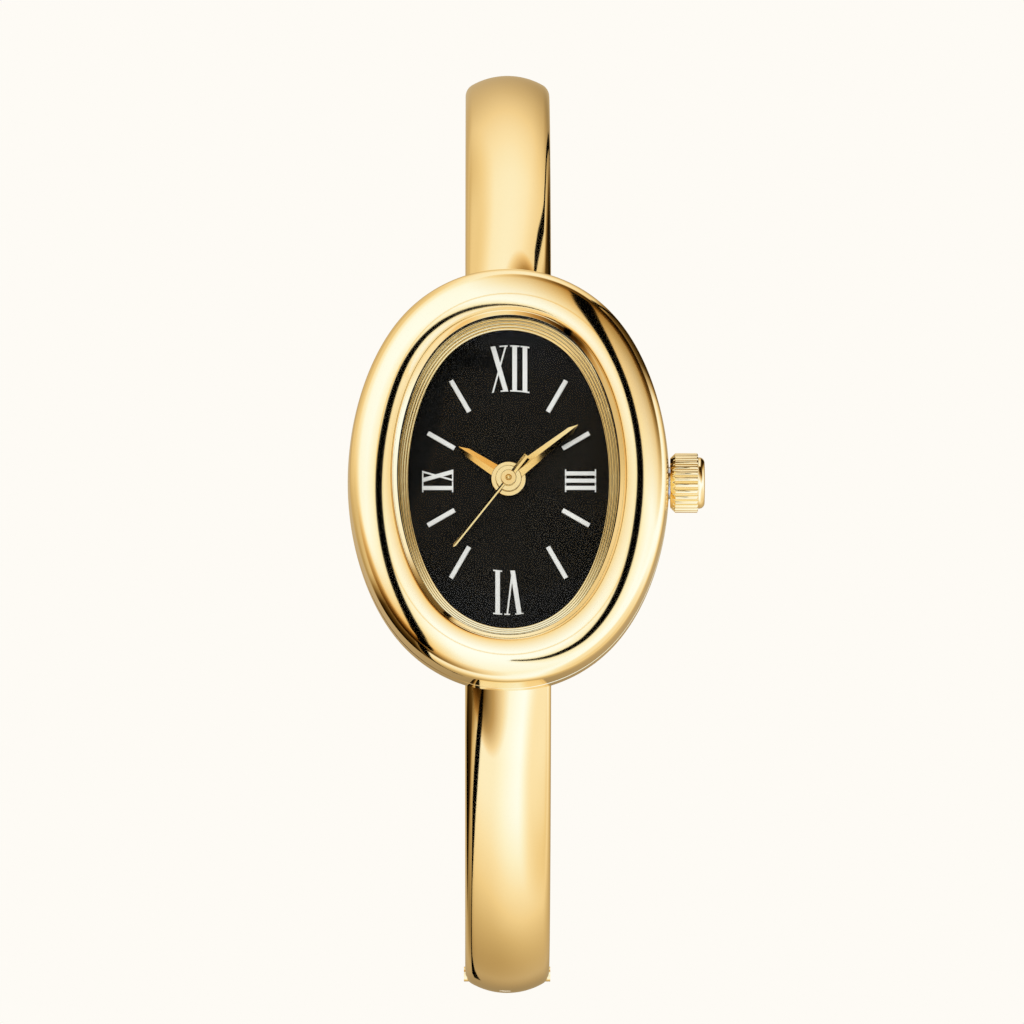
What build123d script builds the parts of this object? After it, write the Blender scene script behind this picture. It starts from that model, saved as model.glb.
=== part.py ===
from build123d import *
import os
from math import atan2, cos, degrees, hypot, radians, sin, sqrt, tan

# Oval bangle wristwatch, in millimetres.
# The origin is the centre of the bangle, on the axis of the wrist. +X points to 3 o'clock,
# +Z to 12 o'clock, and the dial faces -Y. A "depth" is a distance in front of the wrist's axis,
# so y = -depth, and an "inset" is a distance drawn in from the outer oval of the case.

# The case is built round its movement: what stands between the two at the sides and at the ends
CASE_SIDE_WALL = 4.3
CASE_END_WALL = 5.15
CASE_END_SHARE = 0.9084

# Cuts run past the faces that they open by this much
OVERRUN = 0.6

# Caseback, pressed in from the wrist's side. The case stands this far in the bangle's opening
CASE_SET_IN = 3.3
CASEBACK_RIM = 0.3
CASEBACK_BOSS = 0.3
CASEBACK_INSET = 2.2
CASEBACK_EDGE = 0.1
BACK_BORE_INSET = 2.85
BACK_BORE_FIT = 0.05
GASKET_GROOVE = 0.35
GASKET_GROOVE_DEPTH = 0.25
GASKET_FIT = 0.03
PRY_NOTCH_WIDTH = 1.6
PRY_NOTCH_REACH = 0.35

# Case middle
WIDEST_RISE = 1.8
FLANK_WIDTH = 0.75
SEAM_WALL = 0.25
NECK_RISE = 2.3
NECK_INSET = 1.15
NECK_INNER_INSET = 2.75
MOVEMENT_BORE_INSET = 3.15
BACK_BORE_DEEP = 0.55

# Bezel, the fat polished ring: a broad flattish crest between two round shoulders
CREST_INSET = 1.65
CREST_RISE = 3.76
CREST_RADIUS = 4.2
CREST_OUTER_TURN = 12.5
CREST_INNER_TURN = 11
OUTER_SHOULDER_RADIUS = 0.8
INNER_SHOULDER_RADIUS = 0.45
INNER_SLOPE_ANGLE = 50
BEZEL_BAND = 2.85
BEZEL_SEAT_GAP = 0.05

# Crystal and its gasket
CRYSTAL_THICKNESS = 0.85
CRYSTAL_BEVEL = 0.14
CRYSTAL_GASKET_WALL = 0.12

# Stepped flange ring under the crystal
FLANGE_FIT = 0.02
FLANGE_WIDTH = 0.71
FLANGE_STEPS = 5
FLANGE_FOOT = 0.22

# Dial
DIAL_THICKNESS = 0.35
DIAL_FIT = 0.05
DIAL_HOLE_RADIUS = 0.6
DIAL_FOOT_RADIUS = 0.3
DIAL_FOOT_LENGTH = 0.75
DIAL_FOOT_PLACES = ((-3.6, 4.5), (3.6, -6.0))
HAND_SPACE = 1.15

# Applied hour batons: their hours, lengths, and gaps to the height or width of the dial's opening
BATON_WIDTH = 0.28
BATON_HEIGHT = 0.1
BATON_STEEP_HOURS = (1, 5, 7, 11)
BATON_STEEP_LENGTH = 2.15
BATON_STEEP_GAP = 2.07
BATON_FLAT_HOURS = (2, 4, 8, 10)
BATON_FLAT_LENGTH = 1.82
BATON_FLAT_GAP = 0.42
HOURS_ROUND = 12

# Hands: reach from the pivot or gap to the flange ring, widths, hub, clock angle, height over dial
HAND_THICKNESS = 0.16
HAND_EDGE = 0.05
HUB_THICKNESS = 0.2
HOUR_REACH = 3.52
HOUR_ROOT_WIDTH = 0.82
HOUR_SHOULDER_WIDTH = 0.5
HOUR_POINT = 0.6
HOUR_HUB_RADIUS = 1.03
HOUR_ANGLE = 302.9
HOUR_RISE = 0.14
MINUTE_GAP = 0.73
MINUTE_ROOT_WIDTH = 0.86
MINUTE_SHOULDER_WIDTH = 0.44
MINUTE_POINT = 0.55
MINUTE_HUB_RADIUS = 0.77
MINUTE_ANGLE = 52.2
MINUTE_RISE = 0.44
SECONDS_GAP = 0.67
SECONDS_WIDTH = 0.18
SECONDS_TAIL = 1.71
SECONDS_TAIL_WIDTH = 0.3
SECONDS_THICKNESS = 0.08
SECONDS_HUB_RADIUS = 0.465
SECONDS_ANGLE = 218.4
SECONDS_RISE = 0.78

# Movement: outline and levels, counted forward from the back of the train bridge
MOVEMENT_SIDE_WALL = 0.8
MOVEMENT_END_WALL = 0.45
MOVEMENT_CORNER = 3.6
MOVEMENT_BACK_GAP = 0.1
BRIDGE_THICKNESS = 0.35
PLATE_THICKNESS = 1.67
TRAIN_POCKET_DEPTH = 1.1
HOLDER_FIT = 0.05
HOLDER_START = 0.2
HOLDER_END_GAP = 0.02
BRIDGE_INSET = 0.3
BRIDGE_LOW_Z = -1.9
BRIDGE_HIGH_Z = 4.45

# Gear train. Every pinion has six leaves but the cannon pinion
PINION_LEAVES = 6
CANNON_LEAVES = 8
SECONDS_TEETH = 30
THIRD_TEETH = 48
CENTRE_TEETH = 45
INTERMEDIATE_TEETH = 36
MINUTE_WHEEL_TEETH = 24
HOUR_TEETH = 24
THIRD_SPACING = 2.1
THIRD_DIRECTION = 135
INTERMEDIATE_SPACING = 2.15
INTERMEDIATE_DIRECTION = 48
ROTOR_MODULE = 0.085
ROTOR_DIRECTION = 75
MOTION_SPACING = 1.6
MOTION_DIRECTION = 200
WHEEL_THICKNESS = 0.12
CENTRE_ARBOR_RADIUS = 0.14
ARBOR_RADIUS = 0.1
ARBOR_FIT = 0.02
ARBOR_END_GAP = 0.05
WHEEL_POCKET_GAP = 0.12

# Share of the tooth pitch that a tooth takes at its root and at its tip, and how far each
# stands from the pitch circle, in modules
TOOTH_ROOT_SHARE = 0.62
TOOTH_TIP_SHARE = 0.24
ADDENDUM_SHARE = 0.9
DEDENDUM_SHARE = 1.2

# Levels of the wheels, counted forward from the front of the bridge
SECONDS_WHEEL_LEVEL = 0.15
SECONDS_PINION_LENGTH = 0.26
THIRD_WHEEL_LEVEL = 0.36
THIRD_PINION_LENGTH = 0.34
CENTRE_WHEEL_LEVEL = 0.86
INTERMEDIATE_WHEEL_LEVEL = 0.58
INTERMEDIATE_PINION_LENGTH = 0.24
INTERMEDIATE_PINION_LEVEL = 0.08
ROTOR_PINION_LEVEL = 0.53
ROTOR_PINION_LENGTH = 0.22
ROTOR_MAGNET_LEVEL = 0.82
ROTOR_MAGNET_THICKNESS = 0.24
ROTOR_MAGNET_RADIUS = 0.55

# Motion work between plate and dial
MINUTE_WHEEL_LEVEL = 0.05
MINUTE_STUD_REACH = 0.37
MOTION_WHEEL_THICKNESS = 0.1
HOUR_WHEEL_LEVEL = 0.2
CANNON_RADIUS = 0.3
CANNON_BORE_RADIUS = 0.16
HOUR_PIPE_RADIUS = 0.45
HOUR_PIPE_BORE_RADIUS = 0.33

# Stator, coil, battery and electronics
STATOR_THICKNESS = 0.3
STATOR_HALF_WIDTH = 3.5
STATOR_LOW_Z = 2.45
STATOR_HIGH_Z = 4.25
STATOR_LEG_WIDTH = 0.95
STATOR_LEG_TOP_Z = 5.85
STATOR_HOLE_RADIUS = 0.72
STATOR_SLIT = 0.12
COIL_Z = 5.3
COIL_RADIUS = 0.5
COIL_HALF_LENGTH = 2.3
COIL_CORE_WIDTH = 0.7
COIL_CORE_THICKNESS = 0.28
COIL_POCKET_GAP = 0.08
BATTERY_RADIUS = 2.4
BATTERY_THICKNESS = 1.6
BATTERY_TRAIN_GAP = 0.12
BATTERY_RIM_STEP = 0.3
BATTERY_RIM_HEIGHT = 0.2
BATTERY_FIT = 0.05
CLIP_THICKNESS = 0.1
CLIP_WIDTH = 1.3
CLIP_TAB = 0.75
CLIP_LEG = 0.25
BOARD_THICKNESS = 0.2
BOARD_BATTERY_GAP = 0.2
BOARD_TOP_Z = -2.05
BOARD_INNER_X = -0.9
CHIP_SIDE = 0.9
CHIP_THICKNESS = 0.12
CHIP_PLACE = (-3.4, -2.85)
CAN_RADIUS = 0.45
CAN_LENGTH = 2.9
CAN_BATTERY_WALL = 1.05
CAN_LOW_Z = -6.0
CAN_FIT = 0.05

# Screws of the movement
SCREW_PLACES = ((-4.25, -0.9), (4.3, 3.3))
SCREW_HEAD_RADIUS = 0.42
SCREW_HEAD_HEIGHT = 0.18
SCREW_SHANK_RADIUS = 0.22
SCREW_SHANK_LENGTH = 0.9
SCREW_SLOT_WIDTH = 0.12
SCREW_SLOT_DEPTH = 0.08

# Crown, stem and keyless work
CROWN_CASE_GAP = 0.06
CROWN_BODY_LENGTH = 1.64
CROWN_RADIUS = 1.765
CROWN_ROOT_RADIUS = 1.62
CROWN_FLUTES = 28
FLUTE_CREST_SHARE = 0.42
FLUTE_ROOT_SHARE = 0.7
CROWN_CHAMFER = 0.22
CROWN_CAP_RADIUS = 1.515
CROWN_CAP_RISE = 0.41
CROWN_CAP_CHAMFER = 0.22
CROWN_RECESS_RADIUS = 1.1
CROWN_RECESS_DEPTH = 1.0
CROWN_GASKET_LENGTH = 0.3
CROWN_GASKET_GAP = 0.02
CROWN_PULL = 0.9
TUBE_RADIUS = 0.95
TUBE_BORE_RADIUS = 0.5
TUBE_STANDS_OUT = 0.6
STEM_RADIUS = 0.44
STEM_SQUARE = 0.42
STEM_TIP_X = 2.45
STEM_SQUARE_LENGTH = 1.35
STEM_HOLE_FIT = 0.05
STEM_GROOVE_RADIUS = 0.24
STEM_GROOVE_WIDTH = 0.32
STEM_IN_CROWN = 0.35
SLIDING_PINION_RADIUS = 0.65
SLIDING_PINION_TEETH = 12
SLIDING_PINION_TOOTH = 0.1
SLIDING_PINION_LENGTH = 0.85
SLIDING_PINION_GAP = 0.1
SQUARE_FIT = 0.03
LEVER_THICKNESS = 0.22
LEVER_LEVEL = 0.15
LEVER_STEM_GAP = 0.14
LEVER_PIVOT_X = 4.2
LEVER_PIVOT_Z = -1.7
LEVER_PIN_RADIUS = 0.13
LEVER_STUD_RADIUS = 0.16
LEVER_BOSS_RADIUS = 0.38
LEVER_ARM_WIDTH = 0.45
LEVER_POCKET_GAP = 0.08

# Bangle: inner oval in the YZ plane, and its domed section
BANGLE_HALF_HEIGHT = 25.75
BANGLE_DEPTH_SHARE = 0.901
BANGLE_END_SHARE = 0.738
BANGLE_WIDTH = 5.05
BANGLE_SIDE_HEIGHT = 0.9
BANGLE_DOME = 1.1
BANGLE_INNER_CHAMFER = 0.22
ARM_START_ANGLE = 22

# Tenon of each arm, held in a pocket of the case by a screw from the wrist's side
TENON_HALF_WIDTH = 1.7
TENON_REACH = 2.15
TENON_OVERLAP = 0.15
TENON_LOW = 0.95
TENON_HEIGHT = 1.1
TENON_FIT = 0.03
ARM_SCREW_INSET = 1.5
ARM_SCREW_HEAD_RADIUS = 0.58
ARM_SCREW_HEAD_HEIGHT = 0.32
ARM_SCREW_SHANK_RADIUS = 0.38
ARM_SCREW_END_GAP = 0.1

# Hinge of the rear half, just behind the top of the bangle
HINGE_ANGLE = 99
HINGE_HEIGHT = 0.9
HINGE_PIN_RADIUS = 0.4
HINGE_PIN_FIT = 0.02
KNUCKLE_RADIUS = 1.15
KNUCKLE_GAP = 0.1
MIDDLE_KNUCKLE_WIDTH = 1.8
KNUCKLE_SIDE_GAP = 0.06

# Clasp, just behind the foot of the bangle. Lengths along the tongue start at the mouth
MOUTH_ANGLE = 258
MOUTH_GAP = 0.06
TONGUE_HEIGHT = 1.1
TONGUE_THICKNESS = 0.6
TONGUE_HALF_WIDTH = 1.25
TONGUE_NECK_START = 0.7
TONGUE_NECK_END = 3.0
TONGUE_LENGTH = 3.35
TONGUE_ROOT = 2.2
CLASP_FIT = 0.06
CLASP_END_GAP = 0.12
SLOT_RUN_OUT = 0.2
LEG_THICKNESS = 0.25
LEG_START = 0.85
LEG_END = 2.92
CATCH_REACH = 0.32
CATCH_START = 2.38
CATCH_POCKET_START = 2.26
CATCH_POCKET_END = 3.02
BUTTON_TRAVEL = 0.34
BUTTON_RADIUS = 0.45
BUTTON_PLACE = 1.4
BUTTON_STANDS_OUT = 0.08
SPRING_THICKNESS = 0.06

# Worked out from the sizes above. The tongue's neck leaves room for the pressed leg and its spring
neck_half_width = TONGUE_HALF_WIDTH - LEG_THICKNESS - BUTTON_TRAVEL - SPRING_THICKNESS
third_module = THIRD_SPACING / (PINION_LEAVES + THIRD_TEETH) * 2
centre_module = THIRD_SPACING / (PINION_LEAVES + CENTRE_TEETH) * 2
seconds_module = INTERMEDIATE_SPACING / (PINION_LEAVES + SECONDS_TEETH) * 2
rotor_spacing = ROTOR_MODULE * (PINION_LEAVES + INTERMEDIATE_TEETH) / 2
cannon_module = MOTION_SPACING / (CANNON_LEAVES + MINUTE_WHEEL_TEETH) * 2
hour_module = MOTION_SPACING / (PINION_LEAVES + HOUR_TEETH) * 2

centre_tip_radius = centre_module * (CENTRE_TEETH / 2 + ADDENDUM_SHARE)
battery_z = -(centre_tip_radius + BATTERY_TRAIN_GAP + BATTERY_RADIUS)
can_x = -(BATTERY_RADIUS + BATTERY_FIT + CAN_BATTERY_WALL + CAN_RADIUS)
movement_half_width = CAN_RADIUS + MOVEMENT_SIDE_WALL - can_x
movement_half_height = BATTERY_RADIUS + MOVEMENT_END_WALL - battery_z
case_half_width = movement_half_width + CASE_SIDE_WALL
case_half_height = movement_half_height + CASE_END_WALL
case_end_radius = CASE_END_SHARE * case_half_width
opening_half_width = case_half_width - BEZEL_BAND - FLANGE_FIT - FLANGE_WIDTH
opening_half_height = case_half_height - BEZEL_BAND - FLANGE_FIT - FLANGE_WIDTH

bangle_half_depth = BANGLE_DEPTH_SHARE * BANGLE_HALF_HEIGHT
bangle_end_radius = BANGLE_END_SHARE * BANGLE_HALF_HEIGHT
back_depth = bangle_half_depth - CASE_SET_IN
case_back_depth = back_depth + CASEBACK_RIM
movement_back_depth = case_back_depth + CASEBACK_BOSS + MOVEMENT_BACK_GAP
plate_back_depth = movement_back_depth + BRIDGE_THICKNESS
plate_front_depth = plate_back_depth + PLATE_THICKNESS
train_floor_depth = plate_back_depth + TRAIN_POCKET_DEPTH
coil_depth = train_floor_depth - STATOR_THICKNESS - COIL_CORE_THICKNESS / 2
lever_low_depth = plate_back_depth + LEVER_LEVEL
lever_pin_rest_x = LEVER_PIVOT_X - CROWN_PULL / 2
stem_depth = lever_low_depth + LEVER_THICKNESS + LEVER_STEM_GAP + STEM_RADIUS
widest_depth = case_back_depth + WIDEST_RISE
seam_depth = stem_depth + TUBE_RADIUS + SEAM_WALL
neck_top_depth = widest_depth + NECK_RISE
crest_depth = widest_depth + CREST_RISE
crown_start = case_half_width + CROWN_CASE_GAP
crown_body_end = crown_start + CROWN_BODY_LENGTH
half_width = BANGLE_WIDTH / 2
middle_half = MIDDLE_KNUCKLE_WIDTH / 2
outer_knuckle_x = middle_half + KNUCKLE_SIDE_GAP


def section_point(centre, radius, turn):
    """Point in the case's section, seen from a centre. The turn goes inwards from straight ahead."""
    return centre[0] - radius * sin(radians(turn)), centre[1] + radius * cos(radians(turn))


crest_centre = (-CREST_INSET, crest_depth - CREST_RADIUS)
outer_centre = section_point(crest_centre, CREST_RADIUS - OUTER_SHOULDER_RADIUS, -CREST_OUTER_TURN)
inner_centre = section_point(crest_centre, CREST_RADIUS - INNER_SHOULDER_RADIUS, CREST_INNER_TURN)
cone_top = section_point(inner_centre, INNER_SHOULDER_RADIUS, INNER_SLOPE_ANGLE)
crystal_front_depth = cone_top[1] - (BEZEL_BAND + cone_top[0]) * tan(radians(INNER_SLOPE_ANGLE))
crystal_back_depth = crystal_front_depth - CRYSTAL_THICKNESS
dial_face_depth = crystal_back_depth - HAND_SPACE
dial_back_depth = dial_face_depth - DIAL_THICKNESS
tenon_low_depth = back_depth + TENON_LOW
tenon_high_depth = tenon_low_depth + TENON_HEIGHT
arm_screw_z = case_half_height - ARM_SCREW_INSET


def polar(distance, direction):
    """X and Z of a point at a distance from the centre arbor, in degrees from 3 o'clock."""
    return distance * cos(radians(direction)), distance * sin(radians(direction))


third_place = polar(THIRD_SPACING, THIRD_DIRECTION)
intermediate_place = polar(INTERMEDIATE_SPACING, INTERMEDIATE_DIRECTION)
rotor_step = polar(rotor_spacing, ROTOR_DIRECTION)
rotor_place = (intermediate_place[0] + rotor_step[0], intermediate_place[1] + rotor_step[1])
minute_wheel_place = polar(MOTION_SPACING, MOTION_DIRECTION)


def front_plane(depth):
    """Plane that faces the viewer of the dial, at a depth, with X to the right and Z up."""
    return Plane(origin=(0, -depth, 0), x_dir=(1, 0, 0), z_dir=(0, -1, 0))


def disc(place, radius, low, high):
    """Cylinder along the depth, from one depth to another."""
    return extrude(front_plane(low) * Pos(*place) * Circle(radius), amount=high - low)


def block(x_low, x_high, z_low, z_high, low, high):
    """Block between two X, two Z and two depths."""
    face = Pos((x_low + x_high) / 2, (z_low + z_high) / 2) * Rectangle(x_high - x_low, z_high - z_low)
    return extrude(front_plane(low) * face, amount=high - low)


def cross_rod(depth, z, radius, x_low, x_high):
    """Cylinder along X at a depth and a height."""
    start = Plane(origin=(x_low, -depth, z), x_dir=(0, 1, 0), z_dir=(1, 0, 0))
    return extrude(start * Circle(radius), amount=x_high - x_low)


def four_arcs(half_short, half_long, end_radius):
    """Centre, radius, start and size in degrees of the four tangent arcs of an oval.

    The long axis is the second one. The arcs run on from the middle of the short side.
    """
    spare = half_short**2 + half_long**2 - 2 * half_long * end_radius
    side_radius = spare / (2 * (half_short - end_radius))
    reach, rise = side_radius - half_short, half_long - end_radius
    spread = degrees(atan2(rise, reach))
    return [
        ((-reach, 0), side_radius, -spread, 2 * spread),
        ((0, rise), end_radius, spread, 180 - 2 * spread),
        ((reach, 0), side_radius, 180 - spread, 2 * spread),
        ((0, -rise), end_radius, 180 + spread, 180 - 2 * spread),
    ]


def case_arcs(inset):
    """The four arcs of the case's oval, drawn in by an inset."""
    return four_arcs(case_half_width - inset, case_half_height - inset, case_end_radius - inset)


def oval_plate(inset, low, high):
    """Solid plate in the shape of the case's oval, drawn in by an inset."""
    edges = [CenterArc(centre, radius, start, size) for centre, radius, start, size in case_arcs(inset)]
    return extrude(front_plane(low) * make_face(edges), amount=high - low)


def oval_band(outer_inset, inner_inset, low, high):
    """Ring between two insets, with straight walls."""
    return oval_plate(outer_inset, low, high) - oval_plate(inner_inset, low - OVERRUN, high + OVERRUN)


def oval_ring(section):
    """Ring whose section follows the case's oval. The section is drawn with X = -inset, Y = depth."""
    ring = None
    for centre, radius, start, size in case_arcs(0):
        out = (cos(radians(start)), 0, sin(radians(start)))
        place = Plane(
            origin=(centre[0] + radius * out[0], 0, centre[1] + radius * out[2]),
            x_dir=out,
            z_dir=(out[2], 0, -out[0]),
        )
        axis = Axis((centre[0], 0, centre[1]), (0, -1, 0))
        piece = revolve(place * section, axis=axis, revolution_arc=size)
        ring = piece if ring is None else ring + piece
    return ring


def section_arc(centre, start, end):
    """Arc of less than half a turn round a centre."""
    middle = (Vector(*start) + Vector(*end)) / 2 - Vector(*centre)
    radius = (Vector(*start) - Vector(*centre)).length
    return ThreePointArc(start, Vector(*centre) + middle.normalized() * radius, end)


def case_flank():
    """The case middle's rounded flank, from its back face up to the widest line."""
    return [TangentArc((0, widest_depth), (-FLANK_WIDTH, case_back_depth), tangent=(0, -1))]


def bezel_crest():
    """The bezel's outline, from the widest line over the crest and down the inner cone."""
    across, rise = -outer_centre[0], outer_centre[1] - widest_depth
    shoulder = OUTER_SHOULDER_RADIUS
    side_radius = (across**2 + rise**2 - shoulder**2) / (2 * (across - shoulder))
    side_centre = (-side_radius, widest_depth)
    side_turn = -degrees(atan2(side_radius - across, rise))
    side_end = section_point(outer_centre, shoulder, side_turn)
    crest_start = section_point(crest_centre, CREST_RADIUS, -CREST_OUTER_TURN)
    crest_end = section_point(crest_centre, CREST_RADIUS, CREST_INNER_TURN)
    return [
        section_arc(side_centre, (0, widest_depth), side_end),
        section_arc(outer_centre, side_end, crest_start),
        section_arc(crest_centre, crest_start, crest_end),
        section_arc(inner_centre, crest_end, cone_top),
        Line(cone_top, (-BEZEL_BAND, crystal_front_depth)),
    ]


def section_box(inset_low, inset_high, low, high):
    """Rectangle in the case's section, between two insets and two depths."""
    place = Pos(-(inset_low + inset_high) / 2, (low + high) / 2)
    return place * Rectangle(inset_high - inset_low, high - low)


def case_section():
    """Section of the case's whole wall, from the outside in to the bore of the movement."""
    close = Polyline(
        (-BEZEL_BAND, crystal_front_depth),
        (-BEZEL_BAND, neck_top_depth),
        (-MOVEMENT_BORE_INSET, neck_top_depth),
        (-MOVEMENT_BORE_INSET, case_back_depth),
        (-FLANK_WIDTH, case_back_depth),
    )
    return make_face(case_flank() + bezel_crest() + list(close.edges()))


def case_envelope():
    """The case's outside with nothing hollow, which the arms are cut by."""
    core = oval_plate(BEZEL_BAND, case_back_depth, neck_top_depth)
    return oval_ring(case_section()) + core


def tenon(side, grow):
    """Tenon at the end of an arm, or its pocket when it is grown. The sign gives the arm's side."""
    ends = sorted((side * (case_half_height - TENON_REACH - grow), side * (case_half_height + TENON_OVERLAP)))
    return block(
        -TENON_HALF_WIDTH - grow,
        TENON_HALF_WIDTH + grow,
        ends[0],
        ends[1],
        tenon_low_depth - grow,
        tenon_high_depth + grow,
    )


def make_case_middle():
    """Case middle: flank, neck for the bezel, bores for dial, movement and caseback."""
    low = case_back_depth
    bore_top = low + BACK_BORE_DEEP
    section = case_section() & section_box(0, MOVEMENT_BORE_INSET, low, seam_depth)
    section += section_box(NECK_INSET, MOVEMENT_BORE_INSET, seam_depth, neck_top_depth)
    section -= section_box(NECK_INNER_INSET, MOVEMENT_BORE_INSET + OVERRUN, dial_back_depth,
                           neck_top_depth + OVERRUN)
    section -= section_box(BACK_BORE_INSET, MOVEMENT_BORE_INSET + OVERRUN, low - OVERRUN, bore_top)
    section -= section_box(BACK_BORE_INSET - GASKET_GROOVE, BACK_BORE_INSET + OVERRUN, low - OVERRUN,
                           low + GASKET_GROOVE_DEPTH)
    body = oval_ring(section)
    body -= cross_rod(stem_depth, 0, TUBE_RADIUS, case_half_width - MOVEMENT_BORE_INSET - OVERRUN,
                      case_half_width + OVERRUN)
    for side in (1, -1):
        body -= tenon(side, TENON_FIT)
        screw = (0, side * arm_screw_z)
        body -= disc(screw, ARM_SCREW_SHANK_RADIUS + TENON_FIT, low - OVERRUN, tenon_high_depth)
        body -= disc(screw, ARM_SCREW_HEAD_RADIUS + TENON_FIT, low - OVERRUN, low + ARM_SCREW_HEAD_HEIGHT)
    return body


def make_bezel():
    """Bezel: pebble-shaped ring with the seat for the neck and the bore for the crystal."""
    section = case_section() & section_box(0, BEZEL_BAND, seam_depth, crest_depth)
    section -= section_box(NECK_INSET, BEZEL_BAND + OVERRUN, seam_depth - OVERRUN,
                           neck_top_depth + BEZEL_SEAT_GAP)
    return oval_ring(section)


def make_crystal():
    """Flat crystal with a bevelled front edge."""
    inset = BEZEL_BAND + CRYSTAL_GASKET_WALL
    plate = oval_plate(inset, crystal_back_depth, crystal_front_depth)
    return chamfer(plate.faces().sort_by(Axis.Y)[0].edges(), CRYSTAL_BEVEL)


def make_crystal_gasket():
    """Gasket between the crystal's edge and the bezel."""
    inner = BEZEL_BAND + CRYSTAL_GASKET_WALL
    return oval_band(BEZEL_BAND, inner, crystal_back_depth, crystal_front_depth - CRYSTAL_BEVEL)


def make_flange_ring():
    """Stepped ring that carries the crystal and walks down to the dial in fine treads."""
    outer = BEZEL_BAND + FLANGE_FIT
    tread = FLANGE_WIDTH / FLANGE_STEPS
    fall = (crystal_back_depth - dial_face_depth - FLANGE_FOOT) / (FLANGE_STEPS - 1)
    points = [(-outer, dial_face_depth)]
    for step in range(FLANGE_STEPS):
        depth = crystal_back_depth - step * fall
        inset = outer + step * tread
        points += [(-inset, depth), (-inset - tread, depth)]
    points.append((-outer - FLANGE_WIDTH, dial_face_depth))
    outline = Polyline(*points, close=True)
    return oval_ring(make_face(outline.edges()))


def make_dial():
    """Dial with its two feet and the hole for the hands' pipes."""
    dial = oval_plate(NECK_INNER_INSET + DIAL_FIT, dial_back_depth, dial_face_depth)
    for place in DIAL_FOOT_PLACES:
        dial += disc(place, DIAL_FOOT_RADIUS, dial_back_depth - DIAL_FOOT_LENGTH, dial_back_depth)
    return dial - disc((0, 0), DIAL_HOLE_RADIUS, dial_back_depth - OVERRUN, dial_face_depth + OVERRUN)


def clock_plane(depth, angle):
    """Plane on the dial whose Y axis points at a clock angle, in degrees after 12 o'clock."""
    return Plane(front_plane(depth) * Rot(0, 0, -angle))


def make_hour_markers():
    """Eight applied batons, each on the ray of its hour."""
    rows = ((BATON_STEEP_HOURS, BATON_STEEP_LENGTH, opening_half_height - BATON_STEEP_GAP),
            (BATON_FLAT_HOURS, BATON_FLAT_LENGTH, opening_half_width - BATON_FLAT_GAP))
    markers = []
    for hours, length, end in rows:
        for hour in hours:
            plane = clock_plane(dial_face_depth, 360 / HOURS_ROUND * hour)
            face = Pos(0, end - length / 2) * Rectangle(BATON_WIDTH, length)
            markers.append(extrude(plane * face, amount=BATON_HEIGHT))
    return Compound(children=[marker.solid() for marker in markers])


def ridged_hand(depth, angle, reach, root_width, shoulder_width, point, hub_radius, bore):
    """Dauphine-like hand with a ridge down its middle, a long point and a round hub."""
    half_root, half_shoulder = root_width / 2, shoulder_width / 2
    outline = Polyline(
        (-half_root, 0),
        (-half_shoulder, reach - point),
        (0, reach),
        (half_shoulder, reach - point),
        (half_root, 0),
        close=True,
    )
    plane = clock_plane(depth, angle)
    blade = extrude(plane * make_face(outline.edges()), amount=HAND_THICKNESS)
    ridge = Polyline(
        (-half_root, 0),
        (half_root, 0),
        (half_root, HAND_EDGE),
        (0, HAND_THICKNESS),
        (-half_root, HAND_EDGE),
        close=True,
    )
    # The ridge's section stands across the hand, with its Y axis along the depth
    across = Plane(origin=(0, -depth, 0), x_dir=plane.x_dir, z_dir=-plane.y_dir)
    roof = extrude(across * make_face(ridge.edges()), amount=-reach)
    hub = disc((0, 0), hub_radius, depth, depth + HUB_THICKNESS)
    return (blade & roof) + hub - disc((0, 0), bore, depth - OVERRUN, depth + HUB_THICKNESS + OVERRUN)


def make_hour_hand():
    """Hour hand, pressed on the hour wheel's pipe."""
    return ridged_hand(dial_face_depth + HOUR_RISE, HOUR_ANGLE, HOUR_REACH, HOUR_ROOT_WIDTH,
                       HOUR_SHOULDER_WIDTH, HOUR_POINT, HOUR_HUB_RADIUS, HOUR_PIPE_RADIUS)


def make_minute_hand():
    """Minute hand, pressed on the cannon pinion."""
    reach = opening_half_width - MINUTE_GAP
    return ridged_hand(dial_face_depth + MINUTE_RISE, MINUTE_ANGLE, reach, MINUTE_ROOT_WIDTH,
                       MINUTE_SHOULDER_WIDTH, MINUTE_POINT, MINUTE_HUB_RADIUS, CANNON_RADIUS)


def make_seconds_hand():
    """Thin seconds hand with a wider tail, pressed on the seconds arbor."""
    depth = dial_face_depth + SECONDS_RISE
    plane = clock_plane(depth, SECONDS_ANGLE)
    reach = opening_half_width - SECONDS_GAP
    needle = Pos(0, reach / 2) * Rectangle(SECONDS_WIDTH, reach)
    tail = Pos(0, -SECONDS_TAIL / 2) * Rectangle(SECONDS_TAIL_WIDTH, SECONDS_TAIL)
    hand = extrude(plane * (needle + tail), amount=SECONDS_THICKNESS)
    hand += disc((0, 0), SECONDS_HUB_RADIUS, depth - SECONDS_THICKNESS, depth + HUB_THICKNESS)
    return hand - disc((0, 0), CENTRE_ARBOR_RADIUS, depth - OVERRUN, depth + HUB_THICKNESS + OVERRUN)


def cushion(inset, low, high):
    """Plate in the movement's outline, drawn in by an inset."""
    face = RectangleRounded(
        2 * (movement_half_width - inset), 2 * (movement_half_height - inset), MOVEMENT_CORNER - inset
    )
    return extrude(front_plane(low) * face, amount=high - low)


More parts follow.
